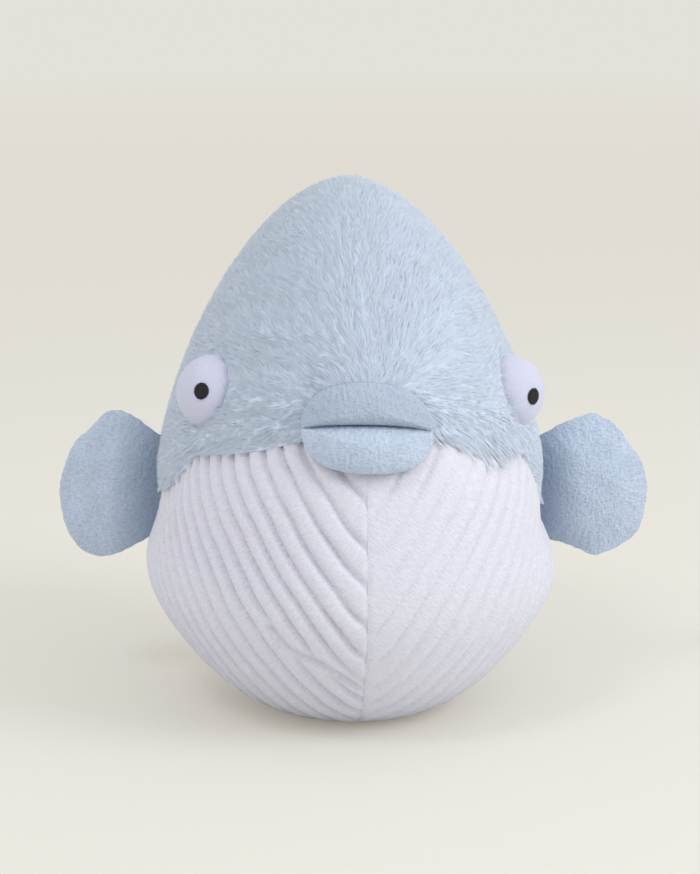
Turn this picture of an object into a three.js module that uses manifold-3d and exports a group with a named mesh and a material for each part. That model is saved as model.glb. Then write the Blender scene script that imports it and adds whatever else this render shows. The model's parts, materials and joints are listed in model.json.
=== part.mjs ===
// Plush puffer fish: a stuffed egg of a body that sits on its ribbed white belly,
// with fur above, two padded lips, domed eyes, two padded fins and a padded tail.
// Millimetres. The toy looks along -Y, +Z is up, and its own left side is +X.
// The origin lies on the floor under the middle of the toy.

import * as THREE from "three";
import { mergeVertices } from "three/addons/utils/BufferGeometryUtils.js";
import Module from "manifold-3d";

const wasm = await Module();
wasm.setup();

// Body: an egg that is wide and deep below and narrow at the crown
const BODY_HALF_HEIGHT = 146;
const BODY_HALF_WIDTH = 104;
const BODY_FRONT_DEPTH = 122;
const BODY_BACK_DEPTH = 124;
const WIDTH_TAPER = 0.25;
const FRONT_TAPER = 0.2;
const BACK_TAPER = 0.1;
const CROWN_LEAN = 8;
const CHEEK_BULGE = 0.07;
const CHEEK_LEVEL = -0.47;
const CHEEK_SPREAD = 0.2;
const CHEEK_FRONT_SHARE = 0.5;

// Base: the round belly settles on the floor and is cut flat there
const BASE_SAG = 9.6;
const BASE_SOFTNESS = 4;
const BASE_CUT = 0.5;

// Tail stalk: the low cone at the back that carries the tail
const STALK_RISE = 10;
const STALK_LEVEL = -0.12;
const STALK_SPREAD = 0.1;

// Waist seam between fur and belly: height above the floor by angle from the front, in degrees
const SEAM_COURSE = [
  [0, 165], [19, 164], [38, 155], [54, 149], [62, 144],
  [70, 127], [78, 112], [92, 106], [140, 108], [180, 118],
];
const SEAM_TUCK = 4.5;
const SEAM_TUCK_SPREAD = 16;
const FRONT_TUCK_SHARE = 0.4;

// Cloth and clearances
const FUR_THICKNESS = 7;
const RIB_CLOTH_THICKNESS = 5;
const SMOOTH_CLOTH_THICKNESS = 1.6;
const SEAM_GAP = 0.4;
const CLEARANCE = 0.3;
const MID_GAP = SEAM_GAP / 2;

// Pellet bag in the bottom of the body
const BAG_RADIUS = 46;
const BAG_HEIGHT = 24;
const BAG_SETBACK = -8;

// Eyes: domes sewn on the fur, a little uneven as the hand-finished face is.
// Each is a ball whose centre lies this deep in the body.
const EYE_RADIUS = 20;
const EYE_HEIGHT = { left: 176, right: 180 };
const EYE_BEARING = { left: 66, right: 62 };
const EYE_DEPTH = 7;
const PUPIL_RADIUS = 4.3;
const PUPIL_THICKNESS = 1.2;
const PUPIL_BEARING = { left: 36, right: 23.5 };
const PUPIL_RISE = { left: 2, right: 12.5 };

// Lips: two half-round padded flaps that meet at the mouth line
const MOUTH_HEIGHT = 169.5;
const MOUTH_OFFSET = -1.8;
const MOUTH_TILT = 1.8;
const MOUTH_ARCH = 3;
const MOUTH_OPENING = 0.8;
const LIP_HALF_WIDTH = 33;
const UPPER_LIP_HEIGHT = 19.5;
const LOWER_LIP_HEIGHT = 22.5;
const LIP_SQUARENESS = 2.4;
const LIP_PADDING = 9;
const LIP_FULLEST_PLACE = 0.42;
const LIP_CLEARANCE = 0.45;

// A paddle is widest and fullest at this share of its length
const PADDLE_FULLEST_PLACE = 0.47;

// Fins: rounded paddles that hang on an upright seam at each side
const FIN_SETBACK = 12;
const FIN_ROOT_LOW = { left: 80, right: 86 };
const FIN_ROOT_SPAN = 54;
const FIN_LENGTH = 53;
const FIN_HALF_HEIGHT = 40;
const FIN_PADDING = 7;
const FIN_SWEEP = { left: 0, right: 24 };

// Tail: an upright rounded fan
const TAIL_ROOT_LOW = 104;
const TAIL_ROOT_SPAN = 34;
const TAIL_LENGTH = 42;
const TAIL_HALF_HEIGHT = 30;
const TAIL_PADDING = 6;

// Hinge lines stand this far off the body, so a flap's rim turns without touching it
const HINGE_STANDOFF = 2.3;
const FIN_ROOT_CLEARANCE = 0.9;
const TAIL_ROOT_CLEARANCE = 0.8;

// Counts of facets
const BODY_COLUMNS = 40;
const SHELL_STATIONS = [0, 0.05, 0.13, 0.24, 0.36, 0.48, 0.6, 0.72, 0.83, 0.93];
const LEAF_STATIONS = [1, 0.88, 0.68, 0.4];
const LEAF_CURVE_POINTS = 14;
const LEAF_ROOT_POINTS = 4;
const EYE_FACETS = 16;
const BAG_FACETS = 20;
const PUPIL_FACETS = 12;
const LEAF_FULLNESS = 0.6;

const FUR = material(0xc4d4e6, 0.95);
const RIBBED_PLUSH = material(0xe3e3ee, 0.9);
const SHORT_PLUSH = material(0xb0bed3, 0.88);
const EYE_PLUSH = material(0xe4e8f4, 0.8);
const PUPIL_THREAD = material(0x232323, 0.6);
const FIBRE = material(0xf3f2ee, 1);
const BAG_CLOTH = material(0xd9d4c8, 0.9);

function material(color, roughness) {
  return new THREE.MeshStandardMaterial({ color, roughness, metalness: 0 });
}

// Body surface

const degrees = THREE.MathUtils.degToRad;

// A height under the floor settles softly onto it
function settle(height) {
  return 0.5 * (height + Math.hypot(height, BASE_SOFTNESS));
}

function unsettle(height) {
  return height - BASE_SOFTNESS ** 2 / (4 * height);
}

const FLOOR_LEVEL = settle(-BASE_SAG) + BASE_CUT;

function levelOfHeight(height) {
  return (unsettle(height + FLOOR_LEVEL) + BASE_SAG) / BODY_HALF_HEIGHT - 1;
}

// Smooth value between the points of a course, with level ends
function alongCourse(course, at) {
  const next = course.findIndex(([place]) => place > at);
  if (next < 0) return course[course.length - 1][1];
  const slope = (i) => {
    if (i <= 0 || i >= course.length - 1) return 0;
    return (course[i + 1][1] - course[i - 1][1]) / (course[i + 1][0] - course[i - 1][0]);
  };
  const [startPlace, startValue] = course[next - 1];
  const [endPlace, endValue] = course[next];
  const span = endPlace - startPlace;
  const t = (at - startPlace) / span;
  const start = startValue * (1 + 2 * t) * (1 - t) ** 2 + slope(next - 1) * span * t * (1 - t) ** 2;
  const end = endValue * (3 - 2 * t) * t ** 2 + slope(next) * span * (t - 1) * t ** 2;
  return start + end;
}

function seamHeight(bearing) {
  const turned = Math.abs(THREE.MathUtils.euclideanModulo(bearing + Math.PI, 2 * Math.PI) - Math.PI);
  return alongCourse(SEAM_COURSE, THREE.MathUtils.radToDeg(turned));
}

// Half width and depths of the body at a level from -1, the base, to 1, the crown
function bodyGirth(level) {
  const cheeks = CHEEK_BULGE * Math.exp(-(((level - CHEEK_LEVEL) / CHEEK_SPREAD) ** 2));
  return {
    width: BODY_HALF_WIDTH * (1 - WIDTH_TAPER * level + cheeks),
    front: BODY_FRONT_DEPTH * (1 - FRONT_TAPER * level + CHEEK_FRONT_SHARE * cheeks),
    back: BODY_BACK_DEPTH * (1 - BACK_TAPER * level),
  };
}

const STALK_DIRECTION = new THREE.Vector3(0, Math.sqrt(1 - STALK_LEVEL ** 2), STALK_LEVEL);

function stalkRise(direction) {
  return STALK_RISE * Math.exp((direction.dot(STALK_DIRECTION) - 1) / STALK_SPREAD);
}

// The waist seam draws the body in, less at the front and the back than at the sides
function seamTuck(direction, height) {
  const bearing = Math.atan2(direction.x, -direction.y);
  const fromSeam = (height - seamHeight(bearing)) / SEAM_TUCK_SPREAD;
  const sideShare = 1 - (1 - FRONT_TUCK_SHARE) * Math.cos(bearing) ** 2;
  return 1 - ((SEAM_TUCK * sideShare) / BODY_HALF_WIDTH) * Math.exp(-(fromSeam ** 2));
}

// Outer surface of the body in a unit direction
function bodySurface(direction) {
  const girth = bodyGirth(direction.z);
  const height = settle(BODY_HALF_HEIGHT * (1 + direction.z) - BASE_SAG) - FLOOR_LEVEL;
  const tuck = seamTuck(direction, height);
  const depth = direction.y < 0 ? girth.front : girth.back;
  return new THREE.Vector3(
    girth.width * direction.x * tuck,
    depth * direction.y * tuck + CROWN_LEAN * direction.z + stalkRise(direction),
    height,
  );
}

function bodyDirection(bearing, polar) {
  return new THREE.Vector3(
    Math.sin(polar) * Math.sin(bearing),
    -Math.sin(polar) * Math.cos(bearing),
    Math.cos(polar),
  );
}

function bodyNormal(direction) {
  const step = 0.01;
  const side = new THREE.Vector3(0, 0, 1).cross(direction);
  if (side.lengthSq() < 1e-9) side.set(1, 0, 0);
  side.normalize();
  const rise = direction.clone().cross(side);
  const nudged = (along, amount) => bodySurface(direction.clone().addScaledVector(along, amount).normalize());
  const acrossSide = nudged(side, step).sub(nudged(side, -step));
  const acrossRise = nudged(rise, step).sub(nudged(rise, -step));
  return acrossSide.cross(acrossRise).normalize();
}

// A point at a depth under the outer surface, or over it where the depth is negative
function bodyPoint(bearing, polar, depth) {
  const direction = bodyDirection(bearing, polar);
  return bodySurface(direction).addScaledVector(bodyNormal(direction), -depth);
}

// Where the body's front lies at a place across and a height
function frontAt(across, height) {
  const level = levelOfHeight(height);
  const girth = bodyGirth(level);
  return -girth.front * Math.sqrt(1 - level ** 2 - (across / girth.width) ** 2) + CROWN_LEAN * level;
}

// How far the body reaches sideways at a setback and a height
function sideAt(setback, height) {
  const level = levelOfHeight(height);
  const girth = bodyGirth(level);
  const back = (setback - CROWN_LEAN * level) / girth.back;
  const direction = new THREE.Vector3(Math.sqrt(1 - level ** 2 - back ** 2), back, level);
  return girth.width * direction.x * seamTuck(direction, height);
}

// How far the body reaches back at a height, with the tail stalk
function backAt(height) {
  const level = levelOfHeight(height);
  const direction = new THREE.Vector3(0, Math.sqrt(1 - level ** 2), level);
  const tuck = seamTuck(direction, height);
  return bodyGirth(level).back * direction.y * tuck + CROWN_LEAN * level + stalkRise(direction);
}

// Solids

// A closed body from a start point, rings of equal count and an end point.
// Quads split along one diagonal before the ring numbered turn and along the other after it,
// so that two bodies drawn on the same stations have parallel facets.
function closedBody(start, rings, end, turn) {
  const around = rings[0].length;
  const points = [start, ...rings.flat(), end];
  const at = (ring, step) => 1 + ring * around + (step % around);
  const last = points.length - 1;
  const index = [];
  for (let step = 0; step < around; step += 1) {
    index.push(0, at(0, step), at(0, step + 1));
    for (let ring = 0; ring + 1 < rings.length; ring += 1) {
      const [a, b] = [at(ring, step), at(ring, step + 1)];
      const [c, d] = [at(ring + 1, step), at(ring + 1, step + 1)];
      if (ring < turn) index.push(a, c, d, a, d, b);
      else index.push(a, c, b, b, c, d);
    }
    index.push(last, at(rings.length - 1, step + 1), at(rings.length - 1, step));
  }
  return geometryFrom(points.flatMap((point) => point.toArray()), facingOut(points, index));
}

function facingOut(points, index) {
  const cross = new THREE.Vector3();
  let volume = 0;
  for (let i = 0; i < index.length; i += 3) {
    const [a, b, c] = [points[index[i]], points[index[i + 1]], points[index[i + 2]]];
    volume += cross.crossVectors(b, c).dot(a);
  }
  return volume < 0 ? index.reverse() : index;
}

function geometryFrom(positions, index) {
  const geometry = new THREE.BufferGeometry();
  geometry.setAttribute("position", new THREE.Float32BufferAttribute(positions, 3));
  geometry.setIndex(index);
  geometry.computeVertexNormals();
  return geometry;
}

function toSolid(geometry) {
  const bare = geometry.clone();
  bare.deleteAttribute("normal");
  bare.deleteAttribute("uv");
  const merged = mergeVertices(bare);
  return new wasm.Manifold(new wasm.Mesh({
    numProp: 3,
    vertProperties: new Float32Array(merged.attributes.position.array),
    triVerts: new Uint32Array(merged.index.array),
  }));
}

function toGeometry(solid) {
  const mesh = solid.getMesh();
  return geometryFrom(Array.from(mesh.vertProperties), Array.from(mesh.triVerts));
}

// A block between a low and a high corner
function block(low, high) {
  const size = new THREE.Vector3().subVectors(high, low);
  const centre = new THREE.Vector3().addVectors(low, high).multiplyScalar(0.5);
  return toSolid(new THREE.BoxGeometry(size.x, size.y, size.z).translate(centre.x, centre.y, centre.z));
}

// Farther than any point of the body from its middle
const REACH = 2 * (BODY_HALF_HEIGHT + BODY_HALF_WIDTH + BODY_BACK_DEPTH + BODY_FRONT_DEPTH);

// Half of space on one side of the middle seam, above the floor
function halfSpace(side) {
  const near = side * MID_GAP;
  const far = side * REACH;
  return block(
    new THREE.Vector3(Math.min(near, far), -REACH, 0),
    new THREE.Vector3(Math.max(near, far), REACH, REACH),
  );
}

const SIDES = [["left", 1], ["right", -1]];
const BEARINGS = Array.from({ length: BODY_COLUMNS }, (_, i) => (2 * Math.PI * i) / BODY_COLUMNS);

// Rings of a body shell from its rim at the seam to a pole, at a depth under the surface
function shellRings(pole, depth) {
  const halfGap = (Math.sign(pole - 1) * MID_GAP) / BODY_HALF_HEIGHT;
  return SHELL_STATIONS.map((station) => BEARINGS.map((bearing) => {
    const rim = Math.acos(levelOfHeight(seamHeight(bearing))) + halfGap;
    return bodyPoint(bearing, rim + (pole - rim) * station, depth);
  }));
}

// A cloth shell between the seam and a pole
function clothShell(pole, thickness) {
  const outer = shellRings(pole, 0);
  const inner = shellRings(pole, thickness);
  return toSolid(closedBody(
    bodyPoint(0, pole, 0),
    [...outer.reverse(), ...inner],
    bodyPoint(0, pole, thickness),
    outer.length,
  ));
}

// The whole body at one depth above the seam and another below it
function bodySolid(depthAbove, depthBelow) {
  const above = shellRings(0, depthAbove);
  const below = shellRings(Math.PI, depthBelow);
  return toSolid(closedBody(
    bodyPoint(0, 0, depthAbove),
    [...above.reverse(), ...below],
    bodyPoint(0, Math.PI, depthBelow),
    above.length,
  ));
}

// Toy

const toy = new THREE.Group();

function addPiece(name, geometry, look, parent = toy) {
  const mesh = new THREE.Mesh(geometry, look);
  mesh.name = name;
  parent.add(mesh);
}

// Cloth panels of the body, split along the seam over the crown and the keel seam

const backShell = clothShell(0, FUR_THICKNESS);
const bellyShell = clothShell(Math.PI, RIB_CLOTH_THICKNESS);
for (const [sideName, side] of SIDES) {
  const half = halfSpace(side);
  addPiece(`back_panel_${sideName}`, toGeometry(backShell.intersect(half)), FUR);
  addPiece(`belly_panel_${sideName}`, toGeometry(bellyShell.intersect(half)), RIBBED_PLUSH);
}

// Stuffing, and the pellet bag that lies under it

function bagShape(clearance) {
  const ball = new THREE.SphereGeometry(1, BAG_FACETS, BAG_FACETS / 2);
  ball.scale(BAG_RADIUS + clearance, BAG_RADIUS + clearance, BAG_HEIGHT + clearance);
  ball.translate(0, BAG_SETBACK, RIB_CLOTH_THICKNESS);
  return toSolid(ball);
}

const filling = bodySolid(FUR_THICKNESS + CLEARANCE, RIB_CLOTH_THICKNESS + CLEARANCE);
addPiece("body_stuffing", toGeometry(filling.subtract(bagShape(CLEARANCE))), FIBRE);
addPiece("pellet_bag", toGeometry(filling.intersect(bagShape(0))), BAG_CLOTH);

// Eyes

const fattenedBody = bodySolid(-CLEARANCE, -CLEARANCE);

function eyeCentre(side, bearing, height) {
  const direction = bodyDirection(side * degrees(bearing), Math.acos(levelOfHeight(height)));
  return bodySurface(direction).addScaledVector(bodyNormal(direction), -EYE_DEPTH);
}

function ball(radius, centre) {
  const sphere = new THREE.SphereGeometry(radius, EYE_FACETS, EYE_FACETS / 2);
  return toSolid(sphere.translate(centre.x, centre.y, centre.z));
}

// A thin disc curved to lie on the eye
function pupilGeometry() {
  const seat = EYE_RADIUS + CLEARANCE;
  const edge = Math.asin(PUPIL_RADIUS / EYE_RADIUS);
  const arc = (radius, angles) => angles.map((angle) => (
    new THREE.Vector2(radius * Math.sin(angle), radius * Math.cos(angle))
  ));
  const angles = [0, edge / 2, edge];
  const profile = [...arc(seat, angles), ...arc(seat + PUPIL_THICKNESS, [...angles].reverse())];
  return new THREE.LatheGeometry(profile, PUPIL_FACETS);
}

for (const [sideName, side] of SIDES) {
  const centre = eyeCentre(side, EYE_BEARING[sideName], EYE_HEIGHT[sideName]);
  const liningRadius = EYE_RADIUS - SMOOTH_CLOTH_THICKNESS;
  const cover = ball(EYE_RADIUS, centre).subtract(ball(liningRadius, centre)).subtract(fattenedBody);
  addPiece(`eye_cover_${sideName}`, toGeometry(cover), EYE_PLUSH);
  const padding = ball(liningRadius - CLEARANCE, centre).subtract(fattenedBody);
  addPiece(`eye_padding_${sideName}`, toGeometry(padding), FIBRE);
  const fromUp = degrees(90 - PUPIL_RISE[sideName]);
  const gaze = bodyDirection(side * degrees(PUPIL_BEARING[sideName]), fromUp);
  const look = new THREE.Group();
  look.position.copy(centre);
  look.quaternion.setFromUnitVectors(new THREE.Vector3(0, 1, 0), gaze);
  toy.add(look);
  addPiece(`pupil_${sideName}`, pupilGeometry(), PUPIL_THREAD, look);
}

// Padded flaps: a front panel and a back panel that meet at a rim seam, with padding between.
// A flap is drawn in its own plane, u along it and v up it, and w stands off the plane.

function rise(station, padding) {
  return SMOOTH_CLOTH_THICKNESS + padding * (1 - station ** 2) ** LEAF_FULLNESS;
}

function flatRise() {
  return SMOOTH_CLOTH_THICKNESS;
}

function leafRing(leaf, station, offset) {
  return leaf.outline.map((point) => {
    const u = leaf.centre.x + (point.x - leaf.centre.x) * station;
    const v = leaf.centre.y + (point.y - leaf.centre.y) * station;
    return leaf.place(u, v, offset);
  });
}

function leafTip(leaf, offset) {
  return leaf.place(leaf.centre.x, leaf.centre.y, offset);
}

// One cloth panel on one face of the flap
function leafPanel(leaf, face, profile) {
  const outer = (station) => face * (MID_GAP + profile(station));
  const inner = (station) => face * (MID_GAP + Math.max(profile(station) - SMOOTH_CLOTH_THICKNESS, 0));
  const outside = LEAF_STATIONS.map((station) => leafRing(leaf, station, outer(station)));
  const inside = LEAF_STATIONS.map((station) => leafRing(leaf, station, inner(station)));
  const rings = [...outside.reverse(), ...inside];
  return closedBody(leafTip(leaf, outer(0)), rings, leafTip(leaf, inner(0)), outside.length);
}

// The padding inside a flap, which ends short of the rim seam
function leafPadding(leaf, frontProfile, backProfile) {
  const front = (station) => MID_GAP + frontProfile(station) - SMOOTH_CLOTH_THICKNESS - CLEARANCE;
  const back = (station) => -(MID_GAP + backProfile(station) - SMOOTH_CLOTH_THICKNESS - CLEARANCE);
  const [, edge, ...within] = LEAF_STATIONS;
  const frontRings = within.map((station) => leafRing(leaf, station, leaf.frontFace * front(station)));
  const backRings = within.map((station) => leafRing(leaf, station, leaf.frontFace * back(station)));
  const edgeRing = leafRing(leaf, edge, leaf.frontFace * Math.max(back(1), CLEARANCE - MID_GAP));
  return closedBody(
    leafTip(leaf, leaf.frontFace * front(0)),
    [...frontRings.reverse(), edgeRing, ...backRings],
    leafTip(leaf, leaf.frontFace * back(0)),
    frontRings.length,
  );
}

function addFlap(name, leaf, frontProfile, backProfile, parent) {
  addPiece(`${name}_front`, leafPanel(leaf, leaf.frontFace, frontProfile), SHORT_PLUSH, parent);
  addPiece(`${name}_back`, leafPanel(leaf, -leaf.frontFace, backProfile), SHORT_PLUSH, parent);
  addPiece(`${name}_padding`, leafPadding(leaf, frontProfile, backProfile), FIBRE, parent);
}

// Lips

// A half-round outline with its flat edge along the mouth line
function lipOutline(lipHeight) {
  const points = [];
  for (let i = 0; i <= LEAF_CURVE_POINTS; i += 1) {
    const angle = (Math.PI * i) / LEAF_CURVE_POINTS;
    const across = Math.sign(Math.cos(angle)) * Math.abs(Math.cos(angle)) ** (2 / LIP_SQUARENESS);
    const up = Math.sin(angle) ** (2 / LIP_SQUARENESS);
    points.push(new THREE.Vector2(LIP_HALF_WIDTH * across, MOUTH_OPENING / 2 + lipHeight * up));
  }
  for (let i = 1; i <= LEAF_ROOT_POINTS; i += 1) {
    const along = (2 * i) / (LEAF_ROOT_POINTS + 1) - 1;
    points.push(new THREE.Vector2(LIP_HALF_WIDTH * along, MOUTH_OPENING / 2));
  }
  return points;
}

// A lip lies along the curve of the face, as far off it as its back panel needs
function lipLeaf(upward, lipHeight) {
  const seat = LIP_CLEARANCE + SMOOTH_CLOTH_THICKNESS + MID_GAP;
  return {
    outline: lipOutline(lipHeight),
    centre: new THREE.Vector2(0, MOUTH_OPENING / 2 + LIP_FULLEST_PLACE * lipHeight),
    frontFace: 1,
    place: (u, v, w) => {
      const across = MOUTH_OFFSET + u;
      const arch = MOUTH_ARCH * (1 - (u / LIP_HALF_WIDTH) ** 2);
      const height = MOUTH_HEIGHT + arch + upward * v - u * Math.tan(degrees(MOUTH_TILT));
      return new THREE.Vector3(across, frontAt(across, height) - seat - w, height);
    },
  };
}

const lipProfile = (station) => rise(station, LIP_PADDING);
addFlap("upper_lip", lipLeaf(1, UPPER_LIP_HEIGHT), lipProfile, flatRise);
addFlap("lower_lip", lipLeaf(-1, LOWER_LIP_HEIGHT), lipProfile, flatRise);

// Fins and tail

// A paddle from its root seam outwards; rootAt gives the root's place along u at each v
function paddleOutline(length, halfHeight, rootHalf, rootAt) {
  const middle = PADDLE_FULLEST_PLACE * length;
  const points = [];
  for (let i = 0; i <= LEAF_CURVE_POINTS; i += 1) {
    const angle = Math.PI * (0.5 - i / LEAF_CURVE_POINTS);
    const up = Math.sin(angle);
    const out = Math.cos(angle);
    points.push(new THREE.Vector2(middle + (length - middle) * out, halfHeight * up));
  }
  for (let i = 0; i <= LEAF_ROOT_POINTS; i += 1) {
    const v = rootHalf * ((2 * i) / LEAF_ROOT_POINTS - 1);
    points.push(new THREE.Vector2(rootAt(v), v));
  }
  return points;
}

// A group whose Z lies along a hinge line and whose X points away from the body
function hingeGroup(low, high, outward, sweep) {
  const up = high.clone().sub(low).normalize();
  const out = outward.clone().addScaledVector(up, -outward.dot(up)).normalize();
  const across = up.clone().cross(out);
  const group = new THREE.Group();
  group.quaternion.setFromRotationMatrix(new THREE.Matrix4().makeBasis(out, across, up));
  group.position.copy(low).add(high).multiplyScalar(0.5).addScaledVector(out, HINGE_STANDOFF);
  group.rotateZ(sweep);
  return { group, up, out, origin: group.position };
}

function addPaddle(name, hinge, size, frontFace, reachAt) {
  const rootAt = (v) => {
    const place = hinge.origin.clone().addScaledVector(hinge.up, v);
    return (reachAt(place) - place.dot(hinge.outward)) / hinge.out.dot(hinge.outward) + size.rootClearance;
  };
  const leaf = {
    outline: paddleOutline(size.length, size.halfHeight, size.rootHalf, rootAt),
    centre: new THREE.Vector2(PADDLE_FULLEST_PLACE * size.length, 0),
    frontFace,
    place: (u, v, w) => new THREE.Vector3(u, w, v),
  };
  const profile = (station) => rise(station, size.padding);
  addFlap(name, leaf, profile, profile, hinge.group);
  toy.add(hinge.group);
}

const FIN_SIZE = {
  length: FIN_LENGTH,
  halfHeight: FIN_HALF_HEIGHT,
  rootHalf: FIN_ROOT_SPAN / 2,
  padding: FIN_PADDING,
  rootClearance: FIN_ROOT_CLEARANCE,
};

for (const [sideName, side] of SIDES) {
  const outward = new THREE.Vector3(side, 0, 0);
  const atSide = (height) => new THREE.Vector3(side * sideAt(FIN_SETBACK, height), FIN_SETBACK, height);
  const low = FIN_ROOT_LOW[sideName];
  const sweep = side * degrees(FIN_SWEEP[sideName]);
  const hinge = hingeGroup(atSide(low), atSide(low + FIN_ROOT_SPAN), outward, sweep);
  hinge.outward = outward;
  addPaddle(`${sideName}_fin`, hinge, FIN_SIZE, -side, (place) => sideAt(FIN_SETBACK, place.z));
}

const TAIL_SIZE = {
  length: TAIL_LENGTH,
  halfHeight: TAIL_HALF_HEIGHT,
  rootHalf: TAIL_ROOT_SPAN / 2,
  padding: TAIL_PADDING,
  rootClearance: TAIL_ROOT_CLEARANCE,
};

const backward = new THREE.Vector3(0, 1, 0);
const atBack = (height) => new THREE.Vector3(0, backAt(height), height);
const tailHinge = hingeGroup(atBack(TAIL_ROOT_LOW), atBack(TAIL_ROOT_LOW + TAIL_ROOT_SPAN), backward, 0);
tailHinge.outward = backward;
addPaddle("tail", tailHinge, TAIL_SIZE, 1, (place) => backAt(place.z));

// The origin moves to the middle of the toy's footprint box
const extent = new THREE.Box3().setFromObject(toy);
toy.position.y = -(extent.min.y + extent.max.y) / 2;

const model = new THREE.Group();
model.add(toy);

export default model;
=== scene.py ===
"""Plush puffer fish: the looks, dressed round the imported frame.

Lengths here are millimetres until a mesh is made, which is in metres.
The toy looks along -Y, +Z is up, and its own left side is +X.
"""

import json
import math

import bmesh
import bpy
import numpy as np
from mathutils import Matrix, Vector, kdtree


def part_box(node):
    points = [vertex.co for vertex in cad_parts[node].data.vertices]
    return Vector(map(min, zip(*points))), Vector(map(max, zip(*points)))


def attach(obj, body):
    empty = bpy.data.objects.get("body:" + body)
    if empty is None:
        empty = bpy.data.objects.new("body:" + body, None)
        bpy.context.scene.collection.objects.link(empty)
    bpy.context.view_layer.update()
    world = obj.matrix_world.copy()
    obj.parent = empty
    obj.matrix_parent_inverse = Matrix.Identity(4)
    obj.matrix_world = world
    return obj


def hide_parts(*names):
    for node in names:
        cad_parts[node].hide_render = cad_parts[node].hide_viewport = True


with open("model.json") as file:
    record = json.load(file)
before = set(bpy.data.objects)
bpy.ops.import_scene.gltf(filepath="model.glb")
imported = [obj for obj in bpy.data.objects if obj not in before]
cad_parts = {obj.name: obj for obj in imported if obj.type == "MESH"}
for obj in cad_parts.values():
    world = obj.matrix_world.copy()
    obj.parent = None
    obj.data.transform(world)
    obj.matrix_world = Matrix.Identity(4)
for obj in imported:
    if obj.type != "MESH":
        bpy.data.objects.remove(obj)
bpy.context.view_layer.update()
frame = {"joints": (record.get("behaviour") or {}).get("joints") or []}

MM = 0.001
SIDES = (("left", 1), ("right", -1))
rng = np.random.default_rng(11)

# Body: the same egg as the frame's
BODY_HALF_HEIGHT = 146
BODY_HALF_WIDTH = 104
BODY_FRONT_DEPTH = 122
BODY_BACK_DEPTH = 124
WIDTH_TAPER = 0.25
FRONT_TAPER = 0.2
BACK_TAPER = 0.1
CROWN_LEAN = 8
CHEEK_BULGE = 0.07
CHEEK_LEVEL = -0.47
CHEEK_SPREAD = 0.2
CHEEK_FRONT_SHARE = 0.5
BASE_SAG = 9.6
BASE_SOFTNESS = 4
BASE_CUT = 0.5
STALK_RISE = 10
STALK_LEVEL = -0.12
STALK_SPREAD = 0.1
SEAM_TUCK = 4.5
SEAM_TUCK_SPREAD = 16
FRONT_TUCK_SHARE = 0.4

# Waist seam: height above the floor by angle from the front, in degrees
SEAM_COURSE = np.array([
    (0, 165), (19, 164), (38, 155), (54, 149), (62, 144),
    (70, 127), (78, 112), (92, 106), (140, 108), (180, 118),
], float)

# The fur's edge stands higher than the seam at the toy's right flank
HEM_RISE = 12
HEM_RISE_BEARING = math.radians(-84)
HEM_RISE_SPREAD = math.radians(17)

# Cloth
FUR_BED_DEPTH = 2.1
FUR_BED_THICKNESS = 2.2
FUR_BED_COLUMNS = 261
FUR_BED_ROWS = 161
CROWN_SEAM_HALF_GAP = 0.05
BELLY_THICKNESS = 4.6
PLUSH_THICKNESS = 1.2
PADDING_CLEARANCE = 0.4

# Belly: the keel seam lies a little to the toy's right, and the left flank is pressed in at the fin
KEEL_TURN = math.radians(-1.7)
KEEL_TURN_SPREAD = math.radians(50)
KEEL_GAP_ANGLE = 0.0002
DENT_DEPTH = 5
DENT_BEARING = math.radians(75)
DENT_BEARING_SPREAD = math.radians(16)
DENT_HEIGHT = 99
DENT_HEIGHT_SPREAD = 17

# Ribs: rows of pile that run down and inwards to the keel seam, widest under the mouth.
# They are laid out by arc lengths over the body: across from the keel, and down from the brow.
BROW_POLAR = math.radians(60)
ARC_TABLE_STEPS = 181
RIB_ANGLE = math.radians(56)
RIB_START = {"left": 51.6, "right": 47}
RIB_PITCH = 9.4
RIB_EXTRA_PITCH = 4.6
RIB_PITCH_FADE = 34
RIB_GROOVE_DEPTH = {"left": 0.85, "right": 2.3}
RIB_GROOVE_WIDTH = 1.45
RIB_CROWN_DROP = {"left": 0.55, "right": 1.15}
RIB_BEND = 2.8
RIB_BEND_REACH = 7
RIB_REST_HEIGHT = 6
BELLY_COLUMNS = 421
BELLY_FINE_ROWS = 209
BELLY_COARSE_ROWS = 13
BELLY_FINE_SHARE = 0.87

# The seams draw the belly's cloth in, and its ribs fade out towards them
KEEL_DIP = 0.9
KEEL_DIP_WIDTH = 1.6
KEEL_DIP_START = 40
KEEL_DIP_GROWTH = 80
KEEL_DIP_LEAST = 0.1
KEEL_CALM = 2.5
KEEL_CALM_SHARE = 0.7
BACK_SEAM_CALM = 6
WAIST_DIP = 2.0
WAIST_DIP_WIDTH = 4
LINING_RELIEF = 3

# A deep fold low on the toy's right, across from the keel and down from the brow
FOLD_COURSE = np.array([(52, 148), (44, 158), (36, 163), (24, 169), (13, 178), (0, 192)], float)
FOLD_DEPTH = 3.6
FOLD_WIDTH = 1.9
FOLD_CALM = 5
FOLD_CALM_SHARE = 0.8

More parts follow.
